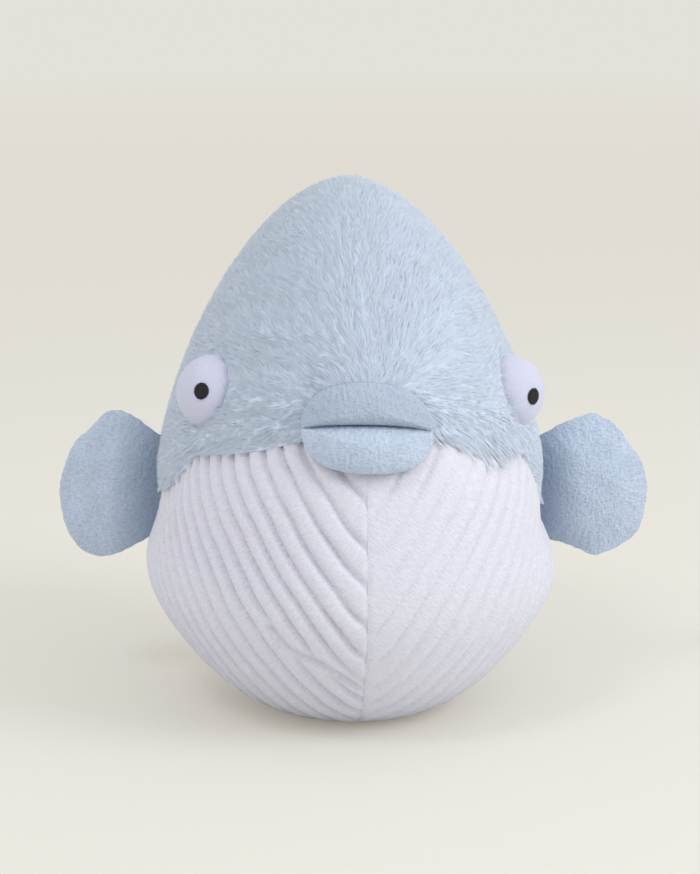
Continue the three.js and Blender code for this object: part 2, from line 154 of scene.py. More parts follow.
# Fur
STRAND_COUNT = 158000
STRAND_LENGTH = 6.4
STRAND_LENGTH_SHARES = (0.75, 1.15)
STRAND_RADIUS = 0.46
STRAND_ROOT_DEPTH = 2.7
STRAND_CORNERS = np.radians((270, 30, 150))
ROOT_SCATTER = 0.003
ROOT_MARGIN = 0.3
NAP_SCATTER = 0.22
PILE_DEPTH = 0.6
PILE_UNEVENNESS = 0.75
CROWN_SEAM_DIP = 0.9
CROWN_SEAM_WIDTH = 2
HEM_REACH = 1
HEM_UNEVENNESS = 1.6
HEM_STAND = 0.4
HEM_STAND_UNEVENNESS = 0.7
LIP_COVER_REACH = 0.78
CLUMP_SHARE = 1 / 12
CLUMP_SCATTER = 1.2
CLUMP_PULL = {"left": 0.36, "right": 0.42}
CLUMP_TINT_SHARE = 0.35
LOCK_ROUNDING = 0.2
STRAND_ROUNDING = 0.32
TIP_ROUNDING = 0.25
FUR_DROOP = {"left": 1.0, "right": 0.75}
DROOP_FADE = 13
FRINGE_DROOP = 1.6
FRINGE_REACH = 16
FRINGE_GROWTH = 1.9
FRINGE_FADE = 12
FRINGE_UNEVENNESS = 0.35
FRINGE_BEARING = math.radians(38)
FRINGE_SPREAD = math.radians(15)

# Waviness, in layers of a share, a size and a seed, each the sum of a few sine waves
WANDER_WAVES = 5
WANDER_STRETCH = (0.7, 1.5)
WANDER_HEIGHT = 3
RIB_WAVES = ((1.0, 70, 5), (0.35, 24, 6))
GROOVE_WAVES = ((0.3, 45, 8),)
NAP_WAVES = ((0.34, 42, 21), (0.38, 12, 22))
LOCK_WAVES = ((0.24, 7, 23), (0.16, 15, 24))
FUR_BED_WAVES = ((0.35, 8, 31), (0.25, 3.6, 32))
FILLING_WAVES = ((0.8, 34, 41),)
PELLET_WAVES = ((0.03, 9, 61),)
EYE_WAVES = ((0.12, 15, 71),)
LIP_WAVES = {1: ((0.25, 22, 82),), -1: ((0.25, 22, 80),)}
PADDLE_WAVES = ((0.07, 17, 91),)

# Fillings: how full pieces are, columns and rows of points, and how they lie in their room
BODY_FILLING_GRID = (97, 57)
BODY_FILLING_DEPTH = 2.4
BAG_GRID = (65, 33)
BAG_SHARE = 0.96

# Eyes: balls whose centres lie at a depth in the body, with satin-stitched pupils
EYE_RADIUS = 20
EYE_HEIGHT = {"left": 176, "right": 180}
EYE_BEARING = {"left": math.radians(66), "right": math.radians(62)}
EYE_DEPTH = 7
EYE_RIM_DEPTH = 2.0
EYE_GRID = (145, 49)
EYE_RIM_SEARCH = np.radians(np.linspace(50, 105, 111))
EYE_INSET = 0.15
EYE_PINCH = 1.0
EYE_PINCH_START = 0.78
EYE_PUCKERS = 15
EYE_PUCKER_DRIFT = ((1.4, 3),)
EYE_PUCKER_DEPTH = 0.45
EYE_OVERLAP = 0.6
EYE_MARGIN = 0.7
EYE_UPPER_REACH = 4
EYE_STRAND_SHARE = 0.4
EYE_STRAND_STAND = 0.5
PUPIL_RADIUS = 4.3
PUPIL_BEARING = {"left": math.radians(36), "right": math.radians(23.5)}
PUPIL_RISE = {"left": math.radians(2), "right": math.radians(12.5)}
THREAD_COUNT = 15
THREAD_RADIUS = 0.36
THREAD_STEPS = 13
THREAD_SIDES = 8
THREAD_SLANT = math.radians(8)
THREAD_TAPER = 0.7
THREAD_STAND = 0.55
THREAD_FLATNESS = 0.8
THREAD_WELD_DISTANCE = 0.001

# Lips
MOUTH_HEIGHT = 169.5
MOUTH_OFFSET = -1.8
MOUTH_TILT = math.radians(1.8)
MOUTH_ARCH = 3
MOUTH_OPENING = 0.8
LIP_HALF_WIDTH = 33
UPPER_LIP_HEIGHT = 19.5
LOWER_LIP_HEIGHT = 22.5
LIP_SQUARENESS = 2.4
LIP_PADDING = 9
LIP_FULLEST_PLACE = 0.42
LIP_SEAT = 2.25
LIP_ARC_POINTS = 160
LIP_GRID = (192, 34)
LIP_ROW_CROWDING = 1.6
LIP_FLATNESS = 2.2
LIP_FULLNESS = 0.62
LIP_RIM_STAND = 1.8
LIP_BACK_SINK = 1.2
LIP_PUCKERS = 0.62
LIP_PUCKER_DRIFT = ((1.5, 0.11),)
LIP_PUCKER_DEPTH = 0.84
LIP_FILLING_SHARE = 0.8

# Fins and tail: outlines in the plane of each, out from its hinge line and up along it
FIN_SETBACK = 12
FIN_THICKNESS = 16.8
FIN_CENTRE = (25, 0)
FIN_SWEEP = {"left": 0, "right": math.radians(-24)}
FIN_OUTLINE = {
    "left": [
        (-7, 30), (4, 33), (11.9, 36.4), (28.5, 40.1), (35.9, 37.2), (43.2, 30.6), (49.4, 19.6), (54.4, 11),
        (56.2, 1.6), (56.3, -8.1), (50.3, -27.1), (40.2, -35.2), (24.7, -39.7), (16.3, -35.4),
        (6.2, -29.9), (-7, -25),
    ],
    "right": [
        (-7, 29), (3.3, 33.3), (11.3, 37.5), (21.8, 40.1), (30.2, 37.1), (39.1, 26.1), (45.8, 18.8),
        (50.3, 6.3), (52.5, -8.7), (49.1, -23.4), (44.6, -32.4), (38.6, -38.6), (31.5, -41.9), (23.7, -42),
        (17, -39.6), (10.8, -36), (-7, -23),
    ],
}
TAIL_THICKNESS = 14.6
TAIL_CENTRE = (20, 0)
TAIL_OUTLINE = [
    (-4, 16), (6, 23), (17, 29.5), (27, 28), (36, 20.5), (41, 10), (42, 0),
    (41, -10), (36, -20.5), (27, -28), (17, -29.5), (6, -23), (-4, -16),
]

# Cloth simulation of the fins and the tail
OUTLINE_STEPS = 8
ROOT_LINE_POINTS = 40
SHEET_POINTS = 45
SHEET_FRAMES = 25
SHEET_PRESSURE = 6
SHEET_STIFFNESS = 15
SEAM_HALF_GAP = 0.2
PUCKERS = 31
PUCKER_DRIFT = ((2, 3), (1.3, 7))
PUCKER_SHARE = 0.28
SCALLOP_SHARE = 0.0045
ROOT_TAPER = 19
LINING_LEAST_REACH = 0.15
PADDLE_FILLING_SHARE = 0.88

# Camera and light
CAMERA_TARGET = (0, -24.5, 142.4)
CAMERA_AZIMUTH = math.radians(-5.5)
CAMERA_ELEVATION = math.radians(12)
CAMERA_DISTANCE = 1500
CAMERA_LENS = 114.55
SENSOR_SIDE = 36
LIGHT_DISTANCE = 2200
LIGHT_COLOUR = (0.96, 0.98, 1.0)
WORLD_COLOUR = (0.985, 0.985, 1.0)
WORLD_STRENGTH = 0.82

# Lights: name, bearing and height angle in degrees, size and power
LIGHTS = (("key", 58, 30, 1300, 18), ("fill", -42, 52, 500, 6))

# Materials: grain sizes, across and along a map where there are two, and the range of a grain that shows
CLOTH_SPECULAR = 0.25
SHEEN_ROUGHNESS = 0.5
GRAIN_RANGE = (0.3, 0.7)
FUR_PATCH_SIZE = 26
FUR_PATCH_RANGE = (0.35, 0.65)
FUR_PATCH_SHARE = 0.4
FUR_TUFT_SIZE = 3.0
FUR_STRAND_SHARE = 0.5
FUR_ROOT_RANGE = (0, 0.7)
RIB_COMB_SIZES = (0.8, 4.5)
RIB_SPECK_SIZES = (0.9, 0.9)
RIB_SPECK_SHARE = 0.35
RIB_PILE_RANGE = (0.33, 0.62)
RIB_PILE_BUMP = 0.9
PLUSH_STREAK_SIZES = (1.4, 3.6)
PLUSH_FLECK_SIZES = (2.2, 1.3)
PLUSH_FLECK_SHARE = 0.6
PLUSH_CLOUD_SIZE = 14
PLUSH_CLOUD_SHARE = 0.3
PLUSH_PILE_RANGE = (0.36, 0.64)
# Painted shade at the roots of the fins and the tail: how far it reaches out along the pile map
PLUSH_ROOT_SHADE_REACH = (-4, 20)
PLUSH_BUMP = 2.6

# Colours, linear
WHITE = (1.0, 1.0, 1.0)
PLUSH_SHEEN = (0.9, 0.95, 1.0)
FUR_SHEEN = (0.86, 0.94, 1.0)
FUR_ROOT = (0.68, 0.785, 0.94)
FUR_DEEP = (0.73, 0.825, 0.97)
FUR_PALE = (0.81, 0.895, 1.0)
BELLY_DEEP = (0.665, 0.66, 0.735)
BELLY_PALE = (0.765, 0.76, 0.845)
# Painted shade: the fins and the tail darken towards their roots, where the body shades them
PLUSH_ROOT_SHADE = (0.25, 0.32, 0.44)
PLUSH_DEEP = (0.43, 0.52, 0.65)
PLUSH_PALE = (0.62, 0.71, 0.86)
# Painted shade: the upper lip's plush is a darker copy of the lower lip's, for the shade on its
# downward-facing front
UPPER_LIP_SHADED_DEEP = (0.36, 0.44, 0.55)
UPPER_LIP_SHADED_PALE = (0.49, 0.57, 0.69)
EYE_DEEP = (0.57, 0.58, 0.71)
EYE_PALE = (0.64, 0.65, 0.79)
FLOOR_COLOUR = (0.80, 0.795, 0.75)
# Painted light: near the toy the floor's glow is yellower, which paints a warm tint into the shadow there
FLOOR_GLOW_COLOUR = (0.80, 0.73, 0.59)
FLOOR_GLOW_SHARE = 0.29
FLOOR_FAR_SHARE = 0.9
FLOOR_FADE = (700, 4200)
BACKDROP_COLOUR = (0.785, 0.762, 0.705)
FLOOR_RADIUS = 14000
FLOOR_SIDES = 96


def joint(name):
    return next(j for j in frame["joints"] if j["name"] == name)


# How far the toy is set along Y in the frame: the fins' hinges lie at their setback
TOY_SHIFT = joint("left_fin_flap")["pos_m"][1] / MM - FIN_SETBACK


# Body surface


def bell(value, middle, spread):
    return np.exp(-(((value - middle) / spread) ** 2))


def settle(height):
    return 0.5 * (height + np.hypot(height, BASE_SOFTNESS))


def unsettle(height):
    return height - BASE_SOFTNESS**2 / (4 * height)


FLOOR_LEVEL = settle(-BASE_SAG) + BASE_CUT
STALK_DIRECTION = np.array([0, math.sqrt(1 - STALK_LEVEL**2), STALK_LEVEL])


def level_of(height):
    return (unsettle(height + FLOOR_LEVEL) + BASE_SAG) / BODY_HALF_HEIGHT - 1


def seam_height(bearing):
    """Height of the waist seam at bearings from the front, smooth between the course's points."""
    turned = np.degrees(np.abs((bearing + math.pi) % (2 * math.pi) - math.pi))
    place, height = SEAM_COURSE.T
    slope = np.zeros(len(place))
    slope[1:-1] = (height[2:] - height[:-2]) / (place[2:] - place[:-2])
    i = np.clip(np.searchsorted(place, turned, side="right") - 1, 0, len(place) - 2)
    span = place[i + 1] - place[i]
    t = (turned - place[i]) / span
    start = height[i] * (1 + 2 * t) * (1 - t) ** 2 + slope[i] * span * t * (1 - t) ** 2
    end = height[i + 1] * (3 - 2 * t) * t**2 + slope[i + 1] * span * (t - 1) * t**2
    return start + end


def hem_height(bearing):
    """Height of the fur's edge: the waist seam, pulled up at the toy's right flank."""
    return seam_height(bearing) + HEM_RISE * bell(bearing, HEM_RISE_BEARING, HEM_RISE_SPREAD)


def girth(level):
    cheeks = CHEEK_BULGE * bell(level, CHEEK_LEVEL, CHEEK_SPREAD)
    width = BODY_HALF_WIDTH * (1 - WIDTH_TAPER * level + cheeks)
    front = BODY_FRONT_DEPTH * (1 - FRONT_TAPER * level + CHEEK_FRONT_SHARE * cheeks)
    return width, front, BODY_BACK_DEPTH * (1 - BACK_TAPER * level)


def seam_tuck(bearing, height):
    """The waist seam draws the body in, less at the front and the back than at the sides."""
    side_share = 1 - (1 - FRONT_TUCK_SHARE) * np.cos(bearing) ** 2
    return 1 - SEAM_TUCK * side_share / BODY_HALF_WIDTH * bell(height, seam_height(bearing), SEAM_TUCK_SPREAD)


def stalk_rise(direction):
    """How far the body is drawn out backwards, towards the tail."""
    return STALK_RISE * np.exp((direction @ STALK_DIRECTION - 1) / STALK_SPREAD)


def body_surface(direction):
    """Points of the body's outer surface in unit directions."""
    x, y, level = np.moveaxis(direction, -1, 0)
    width, front, back = girth(level)
    height = settle(BODY_HALF_HEIGHT * (1 + level) - BASE_SAG) - FLOOR_LEVEL
    tuck = seam_tuck(np.arctan2(x, -y), height)
    depth = np.where(y < 0, front, back) * y * tuck
    depth = depth + CROWN_LEAN * level + stalk_rise(direction) + TOY_SHIFT
    return np.stack([width * x * tuck, depth, height], -1)


def body_place(points):
    """Bearing, level and depth under the surface of points near the body."""
    x, y, height = np.moveaxis(points, -1, 0)
    level = np.clip(level_of(np.maximum(height, 1)), -0.999, 0.999)
    width, front, back = girth(level)
    flat = np.sqrt(1 - level**2)
    centred = y - TOY_SHIFT - CROWN_LEAN * level
    y = centred
    for _ in range(3):
        across, along = x / width, y / np.where(y < 0, front, back)
        bearing = np.arctan2(across, -along)
        direction = np.stack([flat * np.sin(bearing), -flat * np.cos(bearing), level], -1)
        y = centred - stalk_rise(direction)
    reach = np.maximum(np.hypot(across, along), 1e-6)
    lean = np.hypot(flat / width, level / BODY_HALF_HEIGHT)
    slope = flat / width / lean
    depth = (flat * seam_tuck(bearing, height) / reach - 1) * np.hypot(x, y) * slope
    return bearing, level, depth


def direction_of(bearing, polar):
    flat = np.sin(polar)
    return np.stack([flat * np.sin(bearing), -flat * np.cos(bearing), np.cos(polar) + 0 * bearing], -1)


def round_grid(columns, rows):
    """Directions all round, by bearing and polar angle."""
    return direction_of(np.linspace(-math.pi, math.pi, columns)[:, None], np.linspace(0, math.pi, rows))


def unit(vectors):
    return vectors / np.maximum(np.linalg.norm(vectors, axis=-1, keepdims=True), 1e-12)


def body_normal(direction):
    step = 0.01
    side = np.cross(np.array([0.0, 0.0, 1.0]), direction)
    side[np.linalg.norm(side, axis=-1) < 1e-4] = (1, 0, 0)
    side = unit(side)
    rise = np.cross(direction, side)
    across = body_surface(unit(direction + side * step)) - body_surface(unit(direction - side * step))
    up = body_surface(unit(direction + rise * step)) - body_surface(unit(direction - rise * step))
    return unit(np.cross(across, up))


def seam_distance(bearing, level):
    """How far over the waist seam places of the body lie, square to the seam."""
    height = settle(BODY_HALF_HEIGHT * (1 + level) - BASE_SAG) - FLOOR_LEVEL
    step = 0.02
    slope = (hem_height(bearing + step) - hem_height(bearing - step)) / (2 * step * BODY_HALF_WIDTH)
    return (height - hem_height(bearing)) / np.hypot(1, slope)


def front_at(across, height):
    """Where the body's front lies at a place across and a height."""
    level = level_of(height)
    width, front, _ = girth(level)
    return -front * np.sqrt(1 - level**2 - (across / width) ** 2) + CROWN_LEAN * level + TOY_SHIFT


def wander(places, size, seed):
    """A smooth wavy value from about -1 to 1 over places, of about this size in millimetres."""
    draws = np.random.default_rng(seed)
    total = np.zeros(places.shape[:-1])
    for _ in range(WANDER_WAVES):
        course = unit(draws.normal(size=3)) * draws.uniform(*WANDER_STRETCH) * 2 * math.pi / size
        total = total + np.sin(places @ course + draws.uniform(0, 2 * math.pi))
    return total / WANDER_HEIGHT


def waves(places, layers):
    return sum(share * wander(places, size, seed) for share, size, seed in layers)


def gathers(turn, count, drift):
    """Gathers along an edge, from -1 to 1, their even spacing upset by waves of these sizes and counts."""
    return np.sin(count * turn + sum(size * np.sin(times * turn) for size, times in drift))


# Meshes

CRISP_ANGLE = math.radians(62)
WELD_DISTANCE = 0.02


def add_object(name, data):
    made = bpy.data.objects.new(name, data)
    bpy.context.scene.collection.objects.link(made)
    return made


def mesh_piece(name, points, faces, look, ride_on, stands_for=()):
    """A piece from points in millimetres, which rides on a body and stands for CAD nodes."""
    mesh = bpy.data.meshes.new(name)
    mesh.from_pydata((np.asarray(points) * MM).tolist(), [], faces)
    mesh.update()
    mesh.shade_smooth()
    mesh.materials.append(look)
    piece = add_object(name, mesh)
    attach(piece, ride_on)
    if stands_for:
        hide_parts(*stands_for)
    return piece


def weld(piece, distance=WELD_DISTANCE):
    """Merges points that coincide, turns all faces outwards and keeps cut edges crisp."""
    work = bmesh.new()
    work.from_mesh(piece.data)
    bmesh.ops.remove_doubles(work, verts=work.verts, dist=distance * MM)
    bmesh.ops.recalc_face_normals(work, faces=work.faces)
    work.to_mesh(piece.data)
    work.free()
    piece.data.set_sharp_from_angle(angle=CRISP_ANGLE)
    piece.data.update()


def grid_faces(rows, columns, start=0):
    index = start + np.arange(rows * columns).reshape(rows, columns)
    corners = (index[:-1, :-1], index[1:, :-1], index[1:, 1:], index[:-1, 1:])
    return np.stack(corners, -1).reshape(-1, 4).tolist()


LAST_COLUMN = (slice(None), -1)
ALL_EDGES = ((0, slice(None)), (-1, slice(None)), (slice(None), 0), LAST_COLUMN)

# A lining has one point for this many of its skin's
STITCH_STEP = 4


def stitch(fine, coarse):
    """Faces between a fine edge and a coarse one."""
    faces = []
    half = STITCH_STEP // 2
    for k in range(len(coarse) - 1):
        for j in range(STITCH_STEP):
            near = coarse[k] if j < half else coarse[k + 1]
            faces.append((fine[STITCH_STEP * k + j], fine[STITCH_STEP * k + j + 1], near))
        faces.append((coarse[k], coarse[k + 1], fine[STITCH_STEP * k + half]))
    return faces


def closed_panel(outer, inner):
    """Points and faces of a cloth panel: a fine skin and a coarse lining, stitched along their edges."""
    rows, columns = outer.shape[:2]
    coarse_rows, coarse_columns = inner.shape[:2]
    start = rows * columns
    out = np.arange(start).reshape(rows, columns)
    lining = start + np.arange(coarse_rows * coarse_columns).reshape(coarse_rows, coarse_columns)
    faces = grid_faces(rows, columns) + grid_faces(coarse_rows, coarse_columns, start)
    for edge in ALL_EDGES:
        faces += stitch(out[edge].tolist(), lining[edge].tolist())
    return np.concatenate([outer.reshape(-1, 3), inner.reshape(-1, 3)]), faces


def closed_shell(outer, inner, edges):
    """Points and faces of a skin and a lining of as many points, joined along these edges."""
    rows, columns = outer.shape[:2]
    start = rows * columns
    index = np.arange(start).reshape(rows, columns)
    faces = grid_faces(rows, columns) + grid_faces(rows, columns, start)
    for edge in edges:
        line = index[edge]
        faces += np.stack([line[:-1], line[1:], line[1:] + start, line[:-1] + start], 1).tolist()
    return np.concatenate([outer.reshape(-1, 3), inner.reshape(-1, 3)]), faces


def set_map(mesh, name, places):
    """Adds a map with one place for each point."""
    layer = mesh.uv_layers.new(name=name)
    corner = np.zeros(len(mesh.loops), np.int32)
    mesh.loops.foreach_get("vertex_index", corner)
    layer.uv.foreach_set("vector", places[corner].astype(np.float32).ravel())


def close_row(grid):
    """The grid with its first row again after its last."""
    return np.concatenate([grid, grid[:1]])


# Materials


def node(tree, kind, settings=None, **inputs):
    made = tree.nodes.new("ShaderNode" + kind)
    for name, value in (settings or {}).items():
        setattr(made, name, value)
    for name, value in inputs.items():
        fill_socket(tree, made.inputs[name], value)
    return made


def fill_socket(tree, socket, value):
    if isinstance(value, bpy.types.NodeSocket):
        tree.links.new(value, socket)
    else:
        socket.default_value = value


def noise(tree, place, size, detail=2.0):
    """Noise from 0 to 1 with features of this size, in the units of place."""
    made = node(tree, "TexNoise", {"noise_dimensions": "3D"}, Vector=place, Scale=1 / size)
    made.inputs["Detail"].default_value = detail
    return made.outputs["Fac"]


def math_node(tree, operation, first, second):
    made = node(tree, "Math", {"operation": operation})
    fill_socket(tree, made.inputs[0], first)
    fill_socket(tree, made.inputs[1], second)
    return made.outputs[0]


def mixed(tree, first, second, share):
    """A blend of two values, share being the second's."""
    made = node(tree, "Mix", {"data_type": "FLOAT"})
    made.inputs[0].default_value = share
    tree.links.new(first, made.inputs[2])
    tree.links.new(second, made.inputs[3])
    return made.outputs[0]


def blend_colours(tree, share, low, high):
    made = node(tree, "Mix", {"data_type": "RGBA"})
    tree.links.new(share, made.inputs[0])
    for socket, value in ((made.inputs[6], low), (made.inputs[7], high)):
        fill_socket(tree, socket, (*value, 1) if isinstance(value, tuple) else value)
    return made.outputs[2]


def spread(tree, value, low, high):
    """Stretches a value so that low becomes 0 and high becomes 1."""
    made = node(tree, "MapRange", None, Value=value)
    made.inputs["From Min"].default_value = low
    made.inputs["From Max"].default_value = high
    return made.outputs["Result"]


def new_look(name, roughness, sheen, sheen_tint):
    look = bpy.data.materials.new(name)
    look.use_nodes = True
    tree = look.node_tree
    shader = tree.nodes["Principled BSDF"]
    shader.inputs["Roughness"].default_value = roughness
    shader.inputs["Specular IOR Level"].default_value = CLOTH_SPECULAR
    shader.inputs["Sheen Weight"].default_value = sheen
    shader.inputs["Sheen Roughness"].default_value = SHEEN_ROUGHNESS
    shader.inputs["Sheen Tint"].default_value = (*sheen_tint, 1)
    return look, tree, shader


def bump(tree, shader, height, distance, strength=1.0):
    made = node(tree, "Bump", None, Height=height, Distance=distance * MM, Strength=strength)
    tree.links.new(made.outputs["Normal"], shader.inputs["Normal"])


def scaled_place(tree, source, scale):
    made = node(tree, "Mapping", None, Vector=source)
    made.inputs["Scale"].default_value = scale
    return made.outputs["Vector"]


def object_place(tree):
    """Places on the object in millimetres."""
    source = tree.nodes.new("ShaderNodeTexCoord").outputs["Object"]
    return scaled_place(tree, source, (1 / MM,) * 3)


def map_place(tree, name):
    return node(tree, "UVMap", {"uv_map": name}).outputs["UV"]


def stretched_noise(tree, name, across, along, detail=3.0):
    """Noise drawn out on a map, with features of these sizes in millimetres."""
    place = scaled_place(tree, map_place(tree, name), (1 / MM / across, 1 / MM / along, 1))
    return noise(tree, place, 1, detail)


def fur_look():
    """Long pile: a little darker towards the roots, with soft patches of lighter and darker strands."""
    look, tree, shader = new_look("fur", 0.95, 0.3, FUR_SHEEN)
    place = object_place(tree)
    strand = node(tree, "SeparateXYZ", None, Vector=map_place(tree, "pile")).outputs
    patch = spread(tree, noise(tree, place, FUR_PATCH_SIZE), *FUR_PATCH_RANGE)
    tuft = spread(tree, noise(tree, place, FUR_TUFT_SIZE, 3), *GRAIN_RANGE)
    share = mixed(tree, mixed(tree, tuft, patch, FUR_PATCH_SHARE), strand["X"], FUR_STRAND_SHARE)
    tip = blend_colours(tree, share, FUR_DEEP, FUR_PALE)
    colour = blend_colours(tree, spread(tree, strand["Y"], *FUR_ROOT_RANGE), FUR_ROOT, tip)
    tree.links.new(colour, shader.inputs["Base Color"])
    return look


def ribbed_look():
    """Short pile over the ribs, combed across them."""
    look, tree, shader = new_look("ribbed_plush", 0.9, 0.35, WHITE)
    combed = stretched_noise(tree, "ribs", *RIB_COMB_SIZES)
    speck = stretched_noise(tree, "ribs", *RIB_SPECK_SIZES)
    pile = mixed(tree, combed, speck, RIB_SPECK_SHARE)
    tint = spread(tree, pile, *RIB_PILE_RANGE)
    tree.links.new(blend_colours(tree, tint, BELLY_DEEP, BELLY_PALE), shader.inputs["Base Color"])
    bump(tree, shader, pile, RIB_PILE_BUMP)
    return look


def short_plush_look(name, deep, pale, root=None):
    """Short dense pile with the fine flecks of brushed plush, drawn out up the pile map, with painted shade
    darkening it towards a root.
    """
    look, tree, shader = new_look(name, 0.92, 0.4, PLUSH_SHEEN)
    streak = stretched_noise(tree, "pile", *PLUSH_STREAK_SIZES)
    fleck = stretched_noise(tree, "pile", *PLUSH_FLECK_SIZES, 4)
    pile = mixed(tree, streak, fleck, PLUSH_FLECK_SHARE)
    cloud = spread(tree, noise(tree, object_place(tree), PLUSH_CLOUD_SIZE), *GRAIN_RANGE)
    tint = mixed(tree, spread(tree, pile, *PLUSH_PILE_RANGE), cloud, PLUSH_CLOUD_SHARE)
    colour = blend_colours(tree, tint, deep, pale)
    # Painted shade: darker towards the hinge root, where the body shades the fins and the tail
    if root:
        out = node(tree, "SeparateXYZ", None, Vector=map_place(tree, "pile")).outputs["X"]
        start, end = PLUSH_ROOT_SHADE_REACH
        colour = blend_colours(tree, spread(tree, out, start * MM, end * MM), root, colour)
    tree.links.new(colour, shader.inputs["Base Color"])
    bump(tree, shader, pile, PLUSH_BUMP)
    return look


def plain_look(name, deep, pale, size, depth, roughness=0.9, sheen=0.3, sheen_tint=WHITE):
    """Cloth or fibre whose grain has this size and depth."""
    look, tree, shader = new_look(name, roughness, sheen, sheen_tint)
    grain = noise(tree, object_place(tree), size, 3)
    colour = blend_colours(tree, spread(tree, grain, *GRAIN_RANGE), deep, pale)
    tree.links.new(colour, shader.inputs["Base Color"])
    bump(tree, shader, grain, depth)
    return look


FUR = fur_look()
FUR_BED = plain_look("fur_bed", FUR_ROOT, FUR_DEEP, 1.1, 0.8, 0.95, 0.3, FUR_SHEEN)
RIBBED = ribbed_look()
FIN_PLUSH = short_plush_look("fin_plush", PLUSH_DEEP, PLUSH_PALE, PLUSH_ROOT_SHADE)
# Painted shade: a darker copy of the lip plush for the upper lip
SHADED_UPPER_LIP_PLUSH = short_plush_look("shaded_upper_lip_plush", UPPER_LIP_SHADED_DEEP, UPPER_LIP_SHADED_PALE)
LOWER_LIP_PLUSH = short_plush_look("lower_lip_plush", PLUSH_DEEP, PLUSH_PALE)
EYE_PLUSH = plain_look("eye_plush", EYE_DEEP, EYE_PALE, 0.8, 0.3)
THREAD = plain_look("pupil_thread", (0.010, 0.010, 0.010), (0.026, 0.026, 0.024), 0.5, 0.1, 0.55, 0.0)
FIBRE = plain_look("fibre_filling", (0.8, 0.79, 0.76), (0.92, 0.91, 0.88), 6, 1.5, 1.0)
BAG_CLOTH = plain_look("bag_cloth", (0.62, 0.59, 0.5), (0.72, 0.69, 0.61), 2, 0.5, 1.0)


# Covers and fillings


def cover(stands_for, skin, lining, edges, look, body, flat_map):
    """A plush panel of a skin and its lining, joined along these edges."""
    points, faces = closed_shell(skin, lining, edges)
    piece = mesh_piece(f"{stands_for}_cover", points, faces, look, body,
                       [stands_for])
    set_map(piece.data, "pile", np.concatenate([flat_map, flat_map]))
    weld(piece)


def filling(name, points, faces, body, stands_for):
    weld(mesh_piece(name, points, faces, FIBRE, body, [stands_for]))


def shrunk(points, share):
    """Points drawn in towards their middle."""
    middle = points.mean(tuple(range(points.ndim - 1)))
    return middle + (points - middle) * share


# Fins and tail: two sheets sewn together at the rim and blown up by their filling


def smooth_course(points):
    """A smooth open curve through points."""
    points = np.array(points, float)
    ends = np.concatenate([2 * points[:1] - points[1:2], points, 2 * points[-1:] - points[-2:-1]])
    t = np.linspace(0, 1, OUTLINE_STEPS, endpoint=False)[:, None]
    spans = []
    for before, start, end, after in zip(ends, ends[1:], ends[2:], ends[3:]):
        bend = 2 * before - 5 * start + 4 * end - after
        spans.append(start + 0.5 * t * (end - before + t * (bend + t * (3 * (start - end) + after - before))))
    return np.concatenate([*spans, points[-1:]])


def sheet_places(outline, centre):
    """A square grid pressed into an outline: places on it, and each one's share of the way out."""
    edge = smooth_course(outline)
    root = edge[-1] + (edge[0] - edge[-1]) * np.linspace(0, 1, ROOT_LINE_POINTS)[1:-1, None]
    rim = np.concatenate([edge, root]) - centre
    angle, radius = np.arctan2(rim[:, 1], rim[:, 0]), np.hypot(*rim.T)
    order = np.argsort(angle)
    ticks = np.linspace(-1, 1, SHEET_POINTS)
    a, b = np.meshgrid(ticks, ticks, indexing="ij")
    x, y = a * np.sqrt(1 - b**2 / 2), b * np.sqrt(1 - a**2 / 2)
    turn, share = np.arctan2(y, x), np.hypot(x, y)
    reach = np.interp(turn, angle[order], radius[order], period=2 * math.pi) * share
    places = centre + reach[..., None] * np.stack([np.cos(turn), np.sin(turn)], -1)
    return places, share


def blow_up(places, share):
    """Cloth simulation: the two sheets' places after the filling has swollen them."""
    count = SHEET_POINTS
    top = np.arange(count * count).reshape(count, count)
    bottom = top.copy()
    bottom[1:-1, 1:-1] = count * count + np.arange((count - 2) ** 2).reshape(count - 2, count - 2)
    rise = (1 - share**2)[..., None]
    flat = np.concatenate([
        np.concatenate([places, rise], -1).reshape(-1, 3),
        np.concatenate([places, -rise], -1)[1:-1, 1:-1].reshape(-1, 3),
    ])
    faces = []
    for sheet, order in ((top, 1), (bottom, -1)):
        corners = np.stack([sheet[:-1, :-1], sheet[1:, :-1], sheet[1:, 1:], sheet[:-1, 1:]], -1)
        faces += corners.reshape(-1, 4)[:, ::order].tolist()
    mesh = bpy.data.meshes.new("sheets")
    mesh.from_pydata((flat * MM).tolist(), [], faces)
    sheets = add_object("sheets", mesh)
    sewn = sheets.vertex_groups.new(name="rim")
    sewn.add(np.unique(np.concatenate([top[edge] for edge in ALL_EDGES])).tolist(), 1.0, "REPLACE")
    cloth = sheets.modifiers.new("cloth", "CLOTH")
    cloth.settings.quality = 5
    cloth.settings.mass = 0.3
    cloth.settings.tension_stiffness = SHEET_STIFFNESS
    cloth.settings.compression_stiffness = SHEET_STIFFNESS
    cloth.settings.shear_stiffness = SHEET_STIFFNESS / 3
    cloth.settings.bending_stiffness = 0.5
    cloth.settings.use_pressure = True
    cloth.settings.uniform_pressure_force = SHEET_PRESSURE
    cloth.settings.effector_weights.gravity = 0
    cloth.settings.vertex_group_mass = "rim"
    cloth.point_cache.frame_start = 1
    cloth.point_cache.frame_end = SHEET_FRAMES
    for step in range(1, SHEET_FRAMES + 1):
        bpy.context.scene.frame_set(step)
    shaped = sheets.evaluated_get(bpy.context.evaluated_depsgraph_get()).data
    blown = np.zeros(3 * len(flat))
    shaped.vertices.foreach_get("co", blown)
    bpy.data.objects.remove(sheets)
    bpy.data.meshes.remove(mesh)
    bpy.context.scene.frame_set(1)
    blown = blown.reshape(-1, 3) / MM
    return blown[top], blown[bottom]


